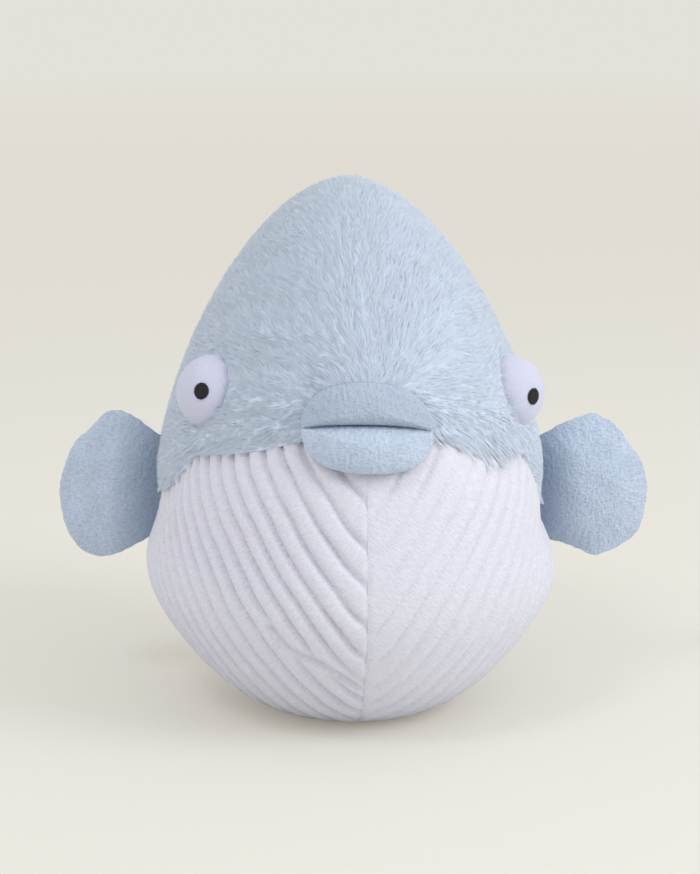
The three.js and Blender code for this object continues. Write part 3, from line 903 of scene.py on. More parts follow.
def fitted(sheets, places, share, centre, thickness):
    """The sheets, swollen to this thickness, thin at the root and gathered in small puckers at the rim."""
    both = np.stack(sheets)
    away = places - centre
    turn = np.arctan2(away[..., 1], away[..., 0])
    puckers = gathers(turn, PUCKERS, PUCKER_DRIFT)
    near_rim = share**5 * (1 - share**10)
    both[..., 2] *= 1 + PUCKER_SHARE * puckers * near_rim
    both[..., :2] -= SCALLOP_SHARE * (puckers * share**8)[..., None] * away
    flat = np.concatenate([places, 0 * places[..., :1]], -1)
    both[..., 2] *= 1 + waves(flat, PADDLE_WAVES)
    from_root = np.clip((places[..., 0] - places[..., 0].min()) / ROOT_TAPER, 0, 1)
    both[..., 2] *= 1 - (1 - from_root) ** 2
    both[..., 2] *= thickness / np.max(both[0, ..., 2] - both[1, ..., 2])
    return both


def finer(grid):
    """The same smooth grid with a point between every two, both ways."""
    for axis in (0, 1):
        lines = np.moveaxis(grid, axis, 0)
        padded = np.concatenate([2 * lines[:1] - lines[1:2], lines, 2 * lines[-1:] - lines[-2:-1]])
        made = np.empty((2 * len(lines) - 1, *lines.shape[1:]))
        made[::2] = lines
        made[1::2] = (9 * (padded[1:-2] + padded[2:-1]) - padded[:-3] - padded[3:]) / 16
        grid = np.moveaxis(made, 0, axis)
    return grid


def hinge_frame(joint_name, out_hint, sweep):
    """The hinge's origin, with the flap's way out, its way across and its way up."""
    made = joint(joint_name)
    up = unit(np.array(made["axis"], float))
    up = up * np.sign(up[2])
    out = unit(out_hint - up * (out_hint @ up))
    across = np.cross(up, out)
    turned_out = out * math.cos(sweep) + across * math.sin(sweep)
    return np.array(made["pos_m"]) / MM, turned_out, np.cross(up, turned_out), up


def paddle(name, hinge, outline, centre, thickness, front_face):
    origin, out, across, up = hinge
    places, share = sheet_places(outline, np.array(centre, float))
    swollen = blow_up(places, share)
    sheets = [finer(sheet) for sheet in fitted(swollen, places, share, centre, thickness)]
    middle = (sheets[0] + sheets[1]) / 2
    flat_map = finer(places).reshape(-1, 2) * MM
    linings = []
    for part, sheet in (("front", sheets[0]), ("back", sheets[1])):
        face = 1 if part == "front" else -1
        half = sheet - middle
        far = np.linalg.norm(half, axis=-1, keepdims=True)
        kept = np.maximum(1 - PLUSH_THICKNESS / np.maximum(far, 0.1), LINING_LEAST_REACH)
        skins = []
        for reach, gap in ((1, SEAM_HALF_GAP), (kept, SEAM_HALF_GAP / 2)):
            u, v, w = np.moveaxis(middle + half * reach + np.array([0, 0, face * gap]), -1, 0)
            stand = front_face * w
            skins.append(origin + u[..., None] * out + v[..., None] * up + stand[..., None] * across)
        linings.append(skins[1])
        cover(f"{name}_{part}", *skins, ALL_EDGES, FIN_PLUSH, name, flat_map)
    points, faces = closed_shell(*shrunk(np.stack(linings), PADDLE_FILLING_SHARE), ALL_EDGES)
    filling(f"{name}_filling", points, faces, name, f"{name}_padding")


for side_name, side in SIDES:
    fin_hinge = hinge_frame(f"{side_name}_fin_flap", np.array([side, 0.0, 0.0]), FIN_SWEEP[side_name])
    paddle(f"{side_name}_fin", fin_hinge, FIN_OUTLINE[side_name], FIN_CENTRE, FIN_THICKNESS, -side)
tail_hinge = hinge_frame("tail_sway", np.array([0.0, 1.0, 0.0]), 0)
paddle("tail", tail_hinge, TAIL_OUTLINE, TAIL_CENTRE, TAIL_THICKNESS, 1)


# Belly panels


def arc_tables():
    """Arc lengths over the body on a grid of bearings and polar angles: across from the keel, and down."""
    bearings = np.linspace(0, math.pi, ARC_TABLE_STEPS)
    polars = np.linspace(BROW_POLAR, math.pi, ARC_TABLE_STEPS)
    surface = body_surface(direction_of(bearings[:, None], polars[None, :]))
    across = np.zeros(surface.shape[:2])
    across[1:] = np.cumsum(np.linalg.norm(np.diff(surface, axis=0), axis=2), axis=0)
    down = np.zeros(surface.shape[:2])
    down[:, 1:] = np.cumsum(np.linalg.norm(np.diff(surface, axis=1), axis=2), axis=1)
    return across, down


ARC_ACROSS, ARC_DOWN = arc_tables()


def from_table(table, bearing, polar):
    last = ARC_TABLE_STEPS - 1
    i = np.clip(np.abs(bearing) / math.pi * last, 0, last - 1e-6)
    j = np.clip((polar - BROW_POLAR) / (math.pi - BROW_POLAR) * last, 0, last - 1e-6)
    low_i, low_j = i.astype(int), j.astype(int)
    share_i, share_j = i - low_i, j - low_j
    low = table[low_i, low_j] * (1 - share_j) + table[low_i, low_j + 1] * share_j
    high = table[low_i + 1, low_j] * (1 - share_j) + table[low_i + 1, low_j + 1] * share_j
    return low * (1 - share_i) + high * share_i


def rib_pitch(over):
    return RIB_PITCH + RIB_EXTRA_PITCH * np.exp(-np.maximum(over, 0) / RIB_PITCH_FADE)


def rib_count(over):
    """How many grooves lie before a place across the ribs, which narrow from the mouth outwards."""
    grown = RIB_PITCH * np.exp(np.maximum(over, 0) / RIB_PITCH_FADE) + RIB_EXTRA_PITCH
    full = RIB_PITCH + RIB_EXTRA_PITCH
    return RIB_PITCH_FADE / RIB_PITCH * np.log(grown / full) + np.minimum(over, 0) / full


def fold_distance(across, down):
    """Distance of places from the deep fold's course."""
    nearest = np.full(across.shape, np.inf)
    place = np.stack([across, down], -1)
    for start, end in zip(FOLD_COURSE, FOLD_COURSE[1:]):
        span = end - start
        t = np.clip((place - start) @ span / (span @ span), 0, 1)
        nearest = np.minimum(nearest, np.linalg.norm(place - start - t[..., None] * span, axis=-1))
    return nearest


def rib_depth(across, down, rim_arc, surface, side_name):
    """How far the cloth lies under the ribs' crests, with its places along and over the ribs."""
    over = across * math.sin(RIB_ANGLE) + down * math.cos(RIB_ANGLE) - RIB_START[side_name]
    over = over + RIB_BEND * (np.exp(-across / RIB_BEND_REACH) + np.exp(-rim_arc / RIB_BEND_REACH))
    over = over + waves(surface, RIB_WAVES)
    along = down * math.sin(RIB_ANGLE) - across * math.cos(RIB_ANGLE)
    count = rib_count(over)
    from_groove = rib_pitch(over) * np.abs((count + 0.5) % 1 - 0.5)
    crown = RIB_CROWN_DROP[side_name] * (1 - 2 * from_groove / rib_pitch(over)) ** 2
    groove = RIB_GROOVE_DEPTH[side_name] * bell(from_groove, 0, RIB_GROOVE_WIDTH)
    depth = groove * (1 + waves(surface, GROOVE_WAVES)) + crown
    if side_name == "right":
        from_fold = fold_distance(across, down)
        depth = depth * (1 - FOLD_CALM_SHARE * bell(from_fold, 0, FOLD_CALM))
        depth = depth + FOLD_DEPTH * bell(from_fold, 0, FOLD_WIDTH)
    return depth, along, over


def belly_shares():
    """Places from the waist seam, 0, to the pole, 1: fine where the ribs show, coarse under the toy."""
    fine = np.linspace(0, BELLY_FINE_SHARE, BELLY_FINE_ROWS)
    return np.concatenate([fine, np.linspace(BELLY_FINE_SHARE, 1, BELLY_COARSE_ROWS)[1:]])


def body_grid(side, bearings, shares, pole, turn=0.0):
    """Bearings, polar angles and directions from the waist seam to a pole, turned a little at the front."""
    bearing = side * bearings + turn * bell(bearings, 0, KEEL_TURN_SPREAD)
    rim = np.arccos(level_of(hem_height(bearing)))
    polar = rim[:, None] + (pole - rim[:, None]) * shares[None, :]
    return bearings[:, None] + 0 * polar, polar, direction_of(bearing[:, None] + 0 * polar, polar)


def belly_panel(side_name, side):
    bearings = np.linspace(KEEL_GAP_ANGLE, math.pi - KEEL_GAP_ANGLE, BELLY_COLUMNS)
    bearing, polar, direction = body_grid(side, bearings, belly_shares(), math.pi, KEEL_TURN)
    surface, normal = body_surface(direction), body_normal(direction)
    across = from_table(ARC_ACROSS, bearing, polar)
    down = from_table(ARC_DOWN, bearing, polar)
    rim_arc = (polar - polar[:, :1]) * BODY_HALF_WIDTH
    depth, along, over = rib_depth(across, down, rim_arc, surface, side_name)
    from_back = from_table(ARC_ACROSS, np.full_like(bearing, math.pi), polar) - across
    calm = (1 - KEEL_CALM_SHARE * bell(across, 0, KEEL_CALM)) * (1 - bell(from_back, 0, BACK_SEAM_CALM))
    grown = np.clip((down - KEEL_DIP_START) / KEEL_DIP_GROWTH, KEEL_DIP_LEAST, 1)
    seam_dip = KEEL_DIP * bell(np.minimum(across, from_back), 0, KEEL_DIP_WIDTH) * grown
    depth = depth * calm + seam_dip + WAIST_DIP * bell(rim_arc, 0, WAIST_DIP_WIDTH)
    height = surface[..., 2]
    if side > 0:
        dent = DENT_DEPTH * bell(bearing, DENT_BEARING, DENT_BEARING_SPREAD)
        depth = depth + dent * bell(height, DENT_HEIGHT, DENT_HEIGHT_SPREAD)
    resting = np.clip(height / RIB_REST_HEIGHT, 0, 1)
    outer = surface - normal * (depth * resting)[..., None]
    outer[..., 2] = np.maximum(outer[..., 2], 0)
    below = BELLY_THICKNESS + np.maximum(depth * resting - LINING_RELIEF, 0)
    inner = (surface - normal * below[..., None])[::STITCH_STEP, ::STITCH_STEP]
    points, faces = closed_panel(outer, inner)
    piece = mesh_piece(f"belly_cover_{side_name}", points, faces, RIBBED, "torso",
                       [f"belly_panel_{side_name}"])
    rib_map = np.stack([along, over], -1)
    coarse_map = rib_map[::STITCH_STEP, ::STITCH_STEP].reshape(-1, 2)
    set_map(piece.data, "ribs", np.concatenate([rib_map.reshape(-1, 2), coarse_map]) * MM)
    weld(piece)


for side_name, side in SIDES:
    belly_panel(side_name, side)


# Fur panels: a soft bed, and the strands that stand in it


def fur_bed(side_name, side):
    bearings = np.linspace(0, math.pi, FUR_BED_COLUMNS)
    _, _, direction = body_grid(side, bearings, np.linspace(0, 1, FUR_BED_ROWS), 0)
    surface, normal = body_surface(direction), body_normal(direction)
    outer = surface - normal * (FUR_BED_DEPTH + waves(surface, FUR_BED_WAVES))[..., None]
    inner = (surface - normal * (FUR_BED_DEPTH + FUR_BED_THICKNESS))[::STITCH_STEP, ::STITCH_STEP]
    for skin in (outer, inner):
        skin[..., 0] = side * np.maximum(side * skin[..., 0], CROWN_SEAM_HALF_GAP)
    points, faces = closed_panel(outer, inner)
    piece = mesh_piece(f"fur_bed_{side_name}", points, faces, FUR_BED, "torso",
                       [f"back_panel_{side_name}"])
    weld(piece)


def eye_place(side_name, side):
    """The ball's centre and its outward direction."""
    polar = np.arccos(level_of(np.array([float(EYE_HEIGHT[side_name])])))
    direction = direction_of(np.array([side * EYE_BEARING[side_name]]), polar)
    outward = body_normal(direction)[0]
    return body_surface(direction)[0] - outward * EYE_DEPTH, outward


EYES = {name: eye_place(name, side) for name, side in SIDES}


def spiral_directions(count):
    """Evenly spread unit directions."""
    step = np.arange(count) + 0.5
    return direction_of(step * math.pi * (3 - math.sqrt(5)), np.arccos(1 - 2 * step / count))


def mouth_line(across):
    """Height of the mouth line at a place across from the mouth's middle."""
    return MOUTH_HEIGHT + MOUTH_ARCH * (1 - (across / LIP_HALF_WIDTH) ** 2) - across * math.tan(MOUTH_TILT)


def under_lips(points):
    """True where a lip covers the body."""
    across = points[:, 0] - MOUTH_OFFSET
    rise = points[:, 2] - mouth_line(across)
    height = np.where(rise > 0, UPPER_LIP_HEIGHT, LOWER_LIP_HEIGHT)
    reach = np.abs(across / LIP_HALF_WIDTH) ** LIP_SQUARENESS + np.abs(rise / height) ** LIP_SQUARENESS
    return (reach < LIP_COVER_REACH) & (points[:, 1] < 0)


def turned(vectors, axis, angle):
    """Vectors turned about axes that are square to them."""
    return vectors * np.cos(angle)[:, None] + np.cross(axis, vectors) * np.sin(angle)[:, None]


def nap_direction(surface, normal, over_seam):
    """The pile lies back from the face to the tail, and droops over the waist seam."""
    droop = np.where(surface[:, 0] > 0, FUR_DROOP["left"], FUR_DROOP["right"])
    droop = droop + FRINGE_DROOP * long_fringe(np.arctan2(surface[:, 0], TOY_SHIFT - surface[:, 1]))
    fall = droop * np.exp(-np.maximum(over_seam, 0) / DROOP_FADE)
    course = np.array([0, 1, -0.1]) - fall[:, None] * np.array([0, 0, 1])
    course = unit(course - (course * normal).sum(1, keepdims=True) * normal)
    scatter = rng.normal(scale=NAP_SCATTER, size=len(surface))
    return turned(course, normal, waves(surface, NAP_WAVES) + scatter)


def strand_roots():
    """Directions where strands grow: above the waist seam, and clear of the eyes and lips."""
    direction = spiral_directions(STRAND_COUNT)
    direction = unit(direction + rng.normal(scale=ROOT_SCATTER, size=direction.shape))
    bearing = np.arctan2(direction[:, 0], -direction[:, 1])
    direction = direction[seam_distance(bearing, direction[:, 2]) > ROOT_MARGIN]
    surface = body_surface(direction)
    clear = ~under_lips(surface)
    for centre, _ in EYES.values():
        clear &= np.linalg.norm(surface - centre, axis=1) > EYE_RADIUS - EYE_OVERLAP
    return direction[clear]


def long_fringe(bearing):
    """Share of the long fringe, which hangs over the belly on the toy's left cheek."""
    return bell(bearing, FRINGE_BEARING, FRINGE_SPREAD)


def strand_courses():
    """Root, tip, outward direction and tint of each strand."""
    direction = strand_roots()
    surface, normal = body_surface(direction), body_normal(direction)
    bearing = np.arctan2(direction[:, 0], -direction[:, 1])
    over_seam = seam_distance(bearing, direction[:, 2])
    count = len(surface)
    length = STRAND_LENGTH * rng.uniform(*STRAND_LENGTH_SHARES, count)
    near_edge = np.exp(-over_seam / FRINGE_FADE) * long_fringe(bearing)
    length = length * (1 + FRINGE_GROWTH * near_edge)
    root = surface - normal * STRAND_ROOT_DEPTH
    tip = root + nap_direction(surface, normal, over_seam) * length[:, None]
    tip, lock_tint, lean = clumped(surface, tip)
    tip = trimmed_at_seam(root, tip, over_seam, rng.uniform(0, 1, count))
    tip = tip + normal * tip_lift(tip, rng.uniform(0, 1, count))[:, None]
    tint = CLUMP_TINT_SHARE * lock_tint + (1 - CLUMP_TINT_SHARE) * rng.uniform(0, 1, count)
    return root, clear_of_eyes(root, tip), unit(normal + lean), tint


def clumped(surface, tip):
    """Draws strands together into rounded locks: their tips, their lock's tint and their lean in it."""
    seeds = body_surface(spiral_directions(int(STRAND_COUNT * CLUMP_SHARE)))
    seeds = seeds + rng.normal(scale=CLUMP_SCATTER, size=seeds.shape)
    tree = kdtree.KDTree(len(seeds))
    for i, place in enumerate(seeds):
        tree.insert(place, i)
    tree.balance()
    nearest = np.array([tree.find(place)[1] for place in surface])
    count = np.maximum(np.bincount(nearest, minlength=len(seeds)), 1)
    centre = np.stack([np.bincount(nearest, x, len(seeds)) / count for x in tip.T], 1)
    pull = np.where(surface[:, 0] > 0, CLUMP_PULL["left"], CLUMP_PULL["right"])
    drawn = tip + (centre[nearest] - tip) * pull[:, None]
    return drawn, rng.uniform(0, 1, len(seeds))[nearest], (surface - seeds[nearest]) * LOCK_ROUNDING


def trimmed_at_seam(root, tip, over_seam, chance):
    """Shortens strands that would hang too far past the waist seam."""
    bearing, level, _ = body_place(tip)
    below = -seam_distance(bearing, level)
    fringe = FRINGE_REACH * long_fringe(bearing) * (1 - FRINGE_UNEVENNESS * chance**2)
    allowed = HEM_REACH + HEM_UNEVENNESS * chance + fringe
    share = (over_seam + allowed) / np.maximum(over_seam + below, 0.1)
    return root + (tip - root) * np.minimum(share, 1)[:, None]


def tip_lift(tip, chance):
    """How far each tip has to move outwards to lie at the pile's surface."""
    bearing, level, depth = body_place(tip)
    past_seam = seam_distance(bearing, level) < 0
    crown_seam = CROWN_SEAM_DIP * bell(tip[:, 0], 0, CROWN_SEAM_WIDTH)
    target = PILE_DEPTH - PILE_UNEVENNESS * chance + waves(tip, LOCK_WAVES) + crown_seam
    return depth - np.where(past_seam, -HEM_STAND - HEM_STAND_UNEVENNESS * chance, target)


def clear_of_eyes(root, tip):
    """Strands meet an eye's rim: short above it, and over its edge below it."""
    for centre, _ in EYES.values():
        inside = np.linalg.norm(tip - centre, axis=1) < EYE_RADIUS + EYE_MARGIN
        upper = inside & (tip[:, 2] > centre[2] - EYE_UPPER_REACH)
        tip = np.where(upper[:, None], root + (tip - root) * EYE_STRAND_SHARE, tip)
        away = tip - centre
        far = np.linalg.norm(away, axis=1, keepdims=True)
        over_eye = EYE_RADIUS + EYE_STRAND_STAND
        tip = np.where(far < over_eye, centre + away / far * over_eye, tip)
    return tip


# Corners of a strand's faces, roots 0 to 2 and tip 3, and each corner's place in its own cell
STRAND_FACES = np.array([(0, 1, 3), (1, 2, 3), (2, 0, 3), (2, 1, 0)])
STRAND_CELL = np.array([
    (0.02, 0.02), (0.30, 0.02), (0.16, 0.96),
    (0.36, 0.02), (0.64, 0.02), (0.50, 0.96),
    (0.70, 0.02), (0.98, 0.02), (0.84, 0.96),
    (0.26, 0.96), (0.40, 0.96), (0.33, 0.40),
])


def fur_pile(side_name, side, root, tip, normal, tint):
    chosen = side * root[:, 0] > 0
    root, tip, normal, tint = root[chosen], tip[chosen], normal[chosen], tint[chosen]
    count = len(root)
    course = unit(tip - root)
    across = unit(np.cross(course, normal))
    over = np.cross(course, across)
    points, normals = [], []
    for angle in STRAND_CORNERS:
        out = across * math.cos(angle) + over * math.sin(angle)
        points.append(root + out * STRAND_RADIUS)
        normals.append(unit(normal + STRAND_ROUNDING * out))
    points = np.stack([*points, tip], 1).reshape(-1, 3)
    normals = np.stack([*normals, unit(normal + TIP_ROUNDING * course)], 1).reshape(-1, 3)
    faces = (4 * np.arange(count)[:, None, None] + STRAND_FACES).reshape(-1, 3).tolist()
    piece = mesh_piece(f"fur_pile_{side_name}", points, faces, FUR, "torso")
    set_map(piece.data, "pile", np.stack([np.repeat(tint, 4), np.tile([0, 0, 0, 1.0], count)], 1))
    cells = math.ceil(math.sqrt(count))
    corner = np.stack([np.arange(count) % cells, np.arange(count) // cells], 1)[:, None, :]
    baked = ((corner + STRAND_CELL) / cells).reshape(-1, 2)
    layer = piece.data.uv_layers.new(name="OFBake")
    layer.uv.foreach_set("vector", baked.astype(np.float32).ravel())
    piece.data.normals_split_custom_set_from_vertices(normals.tolist())


strands = strand_courses()
for side_name, side in SIDES:
    fur_bed(side_name, side)
    fur_pile(side_name, side, *strands)


# Filling


def body_stuffing():
    direction = round_grid(*BODY_FILLING_GRID)
    surface, normal = body_surface(direction), body_normal(direction)
    lumps = BODY_FILLING_DEPTH + waves(surface, FILLING_WAVES)
    depth = FUR_BED_DEPTH + FUR_BED_THICKNESS + PADDING_CLEARANCE + lumps
    points = surface - normal * depth[..., None]
    faces = grid_faces(*BODY_FILLING_GRID)
    filling("body_filling", points.reshape(-1, 3), faces, "torso", "body_stuffing")


def pellet_bag():
    low, high = (np.array(corner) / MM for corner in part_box("pellet_bag"))
    centre, half = (low + high) / 2, (high - low) / 2
    direction = round_grid(*BAG_GRID)
    pellets = 1 + waves(direction * half, PELLET_WAVES)
    points = centre + direction * half * BAG_SHARE * pellets[..., None]
    weld(mesh_piece("pellet_sack", points.reshape(-1, 3), grid_faces(*BAG_GRID), BAG_CLOTH, "torso",
                    ["pellet_bag"]))


body_stuffing()
pellet_bag()


# Eyes


def ball_directions(outward, around, polar):
    side = unit(np.cross(np.array([0, 0, 1.0]), outward))
    up = np.cross(outward, side)
    flat = np.cos(around)[..., None] * side + np.sin(around)[..., None] * up
    return np.sin(polar)[..., None] * flat + np.cos(polar)[..., None] * outward


def dome_reach(centre, outward, around):
    """The polar angle at which the dome meets the fur bed, for each way round."""
    polar = EYE_RIM_SEARCH[None, :] + 0 * around[:, None]
    out = ball_directions(outward, around[:, None] + 0 * polar, polar)
    depth = body_place(centre + out * EYE_RADIUS)[2]
    return polar[0, np.argmax(depth > EYE_RIM_DEPTH, axis=1)]


def eye_dome(side_name):
    centre, outward = EYES[side_name]
    around = np.linspace(0, 2 * math.pi, EYE_GRID[0])
    reach = dome_reach(centre, outward, around)
    share = np.linspace(0, 1, EYE_GRID[1])[None, :]
    polar = reach[:, None] * share
    out = ball_directions(outward, around[:, None] + 0 * polar, polar)
    pinch = np.clip((share - EYE_PINCH_START) / (1 - EYE_PINCH_START), 0, 1) ** 2
    puckers = EYE_PUCKER_DEPTH * gathers(around[:, None], EYE_PUCKERS, EYE_PUCKER_DRIFT) * pinch
    radius = EYE_RADIUS - EYE_INSET + puckers - EYE_PINCH * pinch + waves(out * EYE_RADIUS, EYE_WAVES)
    outer = centre + out * radius[..., None]
    inner = centre + out * (radius - PLUSH_THICKNESS)[..., None]
    points, faces = closed_shell(outer, inner, [LAST_COLUMN])
    weld(mesh_piece(f"eye_dome_{side_name}", points, faces, EYE_PLUSH, "torso",
                    [f"eye_cover_{side_name}"]))
    inside = centre + out * (radius - PLUSH_THICKNESS - PADDING_CLEARANCE)[..., None]
    cap = inside[:, -1:].mean(0, keepdims=True) + 0 * inside[:, -1:]
    points = np.concatenate([inside, cap], 1)
    faces = grid_faces(*points.shape[:2])
    stands_for = f"eye_padding_{side_name}"
    filling(f"eye_filling_{side_name}", points.reshape(-1, 3), faces, "torso", stands_for)


def pupil(side_name, side):
    """A satin-stitched disc: threads side by side over the eye."""
    bearing = np.array(side * PUPIL_BEARING[side_name])
    gaze = direction_of(bearing, np.array(math.pi / 2 - PUPIL_RISE[side_name]))
    across = np.array([math.cos(bearing), math.sin(bearing), 0])
    up = np.cross(across, gaze)
    along_axis = across * math.cos(THREAD_SLANT) + up * math.sin(THREAD_SLANT)
    over_axis = up * math.cos(THREAD_SLANT) - across * math.sin(THREAD_SLANT)
    t = np.linspace(-1, 1, THREAD_STEPS)[:, None]
    ring = np.linspace(0, 2 * math.pi, THREAD_SIDES, endpoint=False)[None, :]
    thin = THREAD_RADIUS * (1 - THREAD_TAPER * np.abs(t) ** 6)
    stand = EYE_RADIUS + THREAD_STAND * (1 - t**4) + np.sin(ring) * thin * THREAD_FLATNESS
    points, faces = [], []
    for line in np.linspace(-1, 1, THREAD_COUNT) * (PUPIL_RADIUS - THREAD_RADIUS):
        half = math.sqrt(PUPIL_RADIUS**2 - line**2)
        flat = along_axis * (half * t)[..., None] + over_axis * (line + np.cos(ring) * thin)[..., None]
        place = unit(gaze * EYE_RADIUS + flat) * stand[..., None]
        start = len(points) * THREAD_STEPS * THREAD_SIDES
        points.append((EYES[side_name][0] + place).reshape(-1, 3))
        index = start + np.arange(THREAD_STEPS * THREAD_SIDES).reshape(THREAD_STEPS, THREAD_SIDES)
        after = np.roll(index, -1, 1)
        faces += np.stack([index[:-1], index[1:], after[1:], after[:-1]], -1).reshape(-1, 4).tolist()
        faces += [index[0].tolist(), index[-1][::-1].tolist()]
    piece = mesh_piece(f"pupil_stitches_{side_name}", np.concatenate(points), faces, THREAD, "torso",
                       [f"pupil_{side_name}"])
    weld(piece, THREAD_WELD_DISTANCE)


for side_name, side in SIDES:
    eye_dome(side_name)
    pupil(side_name, side)


# Lips


def lip_outline(count, lip_height):
    """A half-round outline in the lip's plane, its flat edge along the mouth line."""
    arc = np.linspace(0, math.pi, count, endpoint=False)
    power = 2 / LIP_SQUARENESS
    curve = np.stack([
        LIP_HALF_WIDTH * np.sign(np.cos(arc)) * np.abs(np.cos(arc)) ** power,
        MOUTH_OPENING / 2 + lip_height * np.sin(arc) ** power,
    ], 1)
    edge = np.linspace(-LIP_HALF_WIDTH, LIP_HALF_WIDTH, count // 2, endpoint=False)
    flat = np.stack([edge, np.full(len(edge), MOUTH_OPENING / 2)], 1)
    return np.concatenate([curve, flat])


def even_outline(points, count):
    """The same closed outline with its points evenly spaced."""
    closed = np.concatenate([points, points[:1]])
    gone = np.concatenate([[0], np.cumsum(np.linalg.norm(np.diff(closed, axis=0), axis=1))])
    at = np.linspace(0, gone[-1], count, endpoint=False)
    return np.stack([np.interp(at, gone, x) for x in closed.T], 1)


def lip_place(upward, u, v, w):
    across = MOUTH_OFFSET + u
    height = mouth_line(u) + upward * v
    return np.stack([across, front_at(across, height) - LIP_SEAT - w, height], -1)


def lip(name, look, upward, lip_height):
    outline = even_outline(lip_outline(LIP_ARC_POINTS, lip_height), LIP_GRID[0])
    centre = np.array([0, MOUTH_OPENING / 2 + LIP_FULLEST_PLACE * lip_height])
    station = (1 - np.linspace(0, 1, LIP_GRID[1]) ** LIP_ROW_CROWDING)[None, :]
    u, v = np.moveaxis(centre + (outline[:, None] - centre) * station[..., None], -1, 0)
    turn = np.arange(len(outline))[:, None] + 0 * u
    rim = station**5
    puckers = LIP_PUCKER_DEPTH * gathers(turn, LIP_PUCKERS, LIP_PUCKER_DRIFT) * rim * (1 - rim)
    places = np.stack([u, v, 0 * u], -1)
    padding = LIP_PADDING * (1 - station**LIP_FLATNESS) ** LIP_FULLNESS
    rise = LIP_RIM_STAND + padding + puckers + waves(places, LIP_WAVES[upward])
    front = close_row(lip_place(upward, u, v, rise))
    back = close_row(lip_place(upward, u, v, -LIP_BACK_SINK * (1 - station**4) + 0 * rise))
    flat_map = np.stack([close_row(u), close_row(v)], -1).reshape(-1, 2) * MM
    for part, skin, inward in (("front", front, 1), ("back", back, -1)):
        lining = skin + np.array([0, inward * PLUSH_THICKNESS, 0]) * (1 - station**6)[..., None]
        cover(f"{name}_{part}", skin, lining, [], look, "torso", flat_map)
    inside = shrunk(np.concatenate([front, back[:, ::-1]], 1), LIP_FILLING_SHARE)
    faces = grid_faces(*inside.shape[:2])
    filling(f"{name}_filling", inside.reshape(-1, 3), faces, "torso", f"{name}_padding")


lip("upper_lip", SHADED_UPPER_LIP_PLUSH, 1, UPPER_LIP_HEIGHT)
lip("lower_lip", LOWER_LIP_PLUSH, -1, LOWER_LIP_HEIGHT)


# Studio


def studio_floor():
    """A wide pale floor, which fills the view to its top edge."""
    turn = np.linspace(0, 2 * math.pi, FLOOR_SIDES, endpoint=False)
    points = np.stack([np.cos(turn), np.sin(turn), 0 * turn], 1) * FLOOR_RADIUS
    mesh = bpy.data.meshes.new("studio_floor")
    mesh.from_pydata((points * MM).tolist(), [], [list(range(len(points)))])
    look = bpy.data.materials.new("studio_floor")
    look.use_nodes = True
    shader = look.node_tree.nodes["Principled BSDF"]
    shader.inputs["Base Color"].default_value = (*FLOOR_COLOUR, 1)
    shader.inputs["Roughness"].default_value = 1.0
    shader.inputs["Specular IOR Level"].default_value = 0.0
    soften_shadow(look.node_tree, shader)
    mesh.materials.append(look)
    add_object("studio_floor", mesh)


def seen_directly(tree):
    """1 for rays from the camera and in reflections or glass, and 0 for those that light things."""
    path = tree.nodes.new("ShaderNodeLightPath").outputs
    seen = math_node(tree, "MAXIMUM", path["Is Camera Ray"], path["Is Glossy Ray"])
    return math_node(tree, "MAXIMUM", seen, path["Is Transmission Ray"])


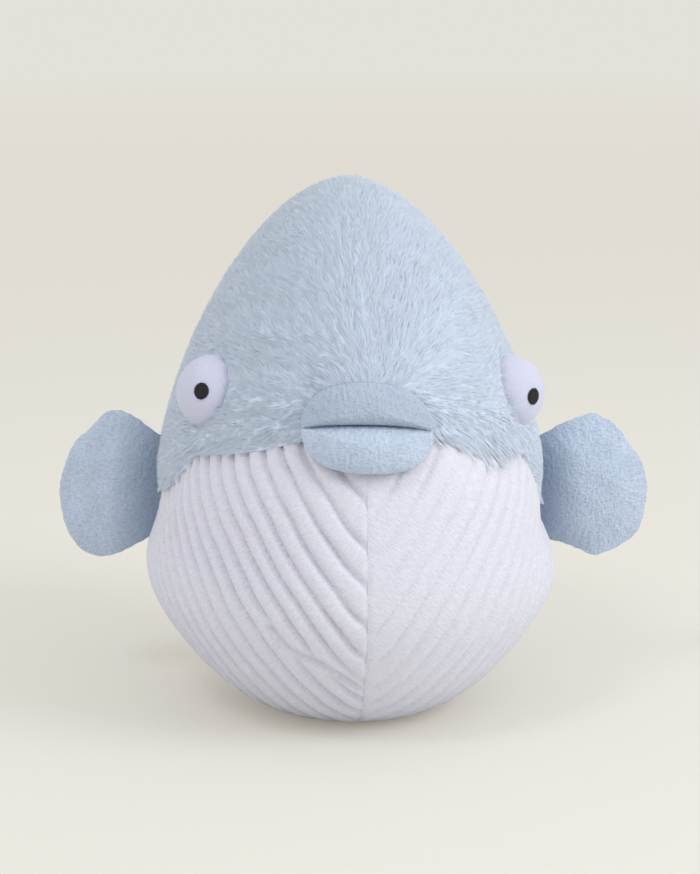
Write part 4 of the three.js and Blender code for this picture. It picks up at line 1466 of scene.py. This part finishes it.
def soften_shadow(tree, shader):
    """The floor glows a little for the camera and in reflections, so that shadows on it stay pale; near the
    toy the glow is yellower and paints a warm tint into the shadow.
    """
    distance = node(tree, "VectorMath", {"operation": "LENGTH"})
    tree.links.new(object_place(tree), distance.inputs[0])
    far = spread(tree, distance.outputs["Value"], *FLOOR_FADE)
    share = math_node(tree, "MULTIPLY_ADD", far, FLOOR_FAR_SHARE - FLOOR_GLOW_SHARE)
    share.node.inputs[2].default_value = FLOOR_GLOW_SHARE
    glow = node(tree, "Emission", None, Color=blend_colours(tree, far, FLOOR_GLOW_COLOUR, BACKDROP_COLOUR))
    both = tree.nodes.new("ShaderNodeMixShader")
    tree.links.new(math_node(tree, "MULTIPLY", seen_directly(tree), share), both.inputs[0])
    tree.links.new(shader.outputs["BSDF"], both.inputs[1])
    tree.links.new(glow.outputs["Emission"], both.inputs[2])
    tree.links.new(both.outputs["Shader"], tree.nodes["Material Output"].inputs["Surface"])


def aim(thing, azimuth, elevation, distance):
    """Sets a lamp or camera at a bearing, a height angle and a distance from the target, facing it."""
    flat = math.cos(elevation)
    away = Vector((math.sin(azimuth) * flat, -math.cos(azimuth) * flat, math.sin(elevation)))
    thing.location = (Vector(CAMERA_TARGET) + away * distance) * MM
    thing.rotation_mode = "QUATERNION"
    thing.rotation_quaternion = (-away).to_track_quat("-Z", "Y")


def area_light(name, azimuth, elevation, size, power):
    light = bpy.data.lights.new(name, "AREA")
    light.shape = "DISK"
    light.size = size * MM
    light.energy = power
    light.color = LIGHT_COLOUR
    aim(add_object(name, light), math.radians(azimuth), math.radians(elevation), LIGHT_DISTANCE)


def studio():
    studio_floor()
    for light in LIGHTS:
        area_light(*light)
    world = bpy.data.worlds.new("studio")
    world.use_nodes = True
    tree = world.node_tree
    lighting = tree.nodes["Background"]
    lighting.inputs["Color"].default_value = (*WORLD_COLOUR, 1)
    lighting.inputs["Strength"].default_value = WORLD_STRENGTH
    backdrop = tree.nodes.new("ShaderNodeBackground")
    backdrop.inputs["Color"].default_value = (*BACKDROP_COLOUR, 1)
    both = tree.nodes.new("ShaderNodeMixShader")
    tree.links.new(seen_directly(tree), both.inputs[0])
    tree.links.new(lighting.outputs["Background"], both.inputs[1])
    tree.links.new(backdrop.outputs["Background"], both.inputs[2])
    tree.links.new(both.outputs["Shader"], tree.nodes["World Output"].inputs["Surface"])
    bpy.context.scene.world = world
    bpy.context.scene.view_settings.view_transform = "Standard"


def camera():
    lens = bpy.data.cameras.new("camera")
    lens.lens = CAMERA_LENS
    lens.sensor_width = SENSOR_SIDE
    eye = add_object("camera", lens)
    aim(eye, CAMERA_AZIMUTH, CAMERA_ELEVATION, CAMERA_DISTANCE)
    bpy.context.scene.camera = eye


studio()
camera()
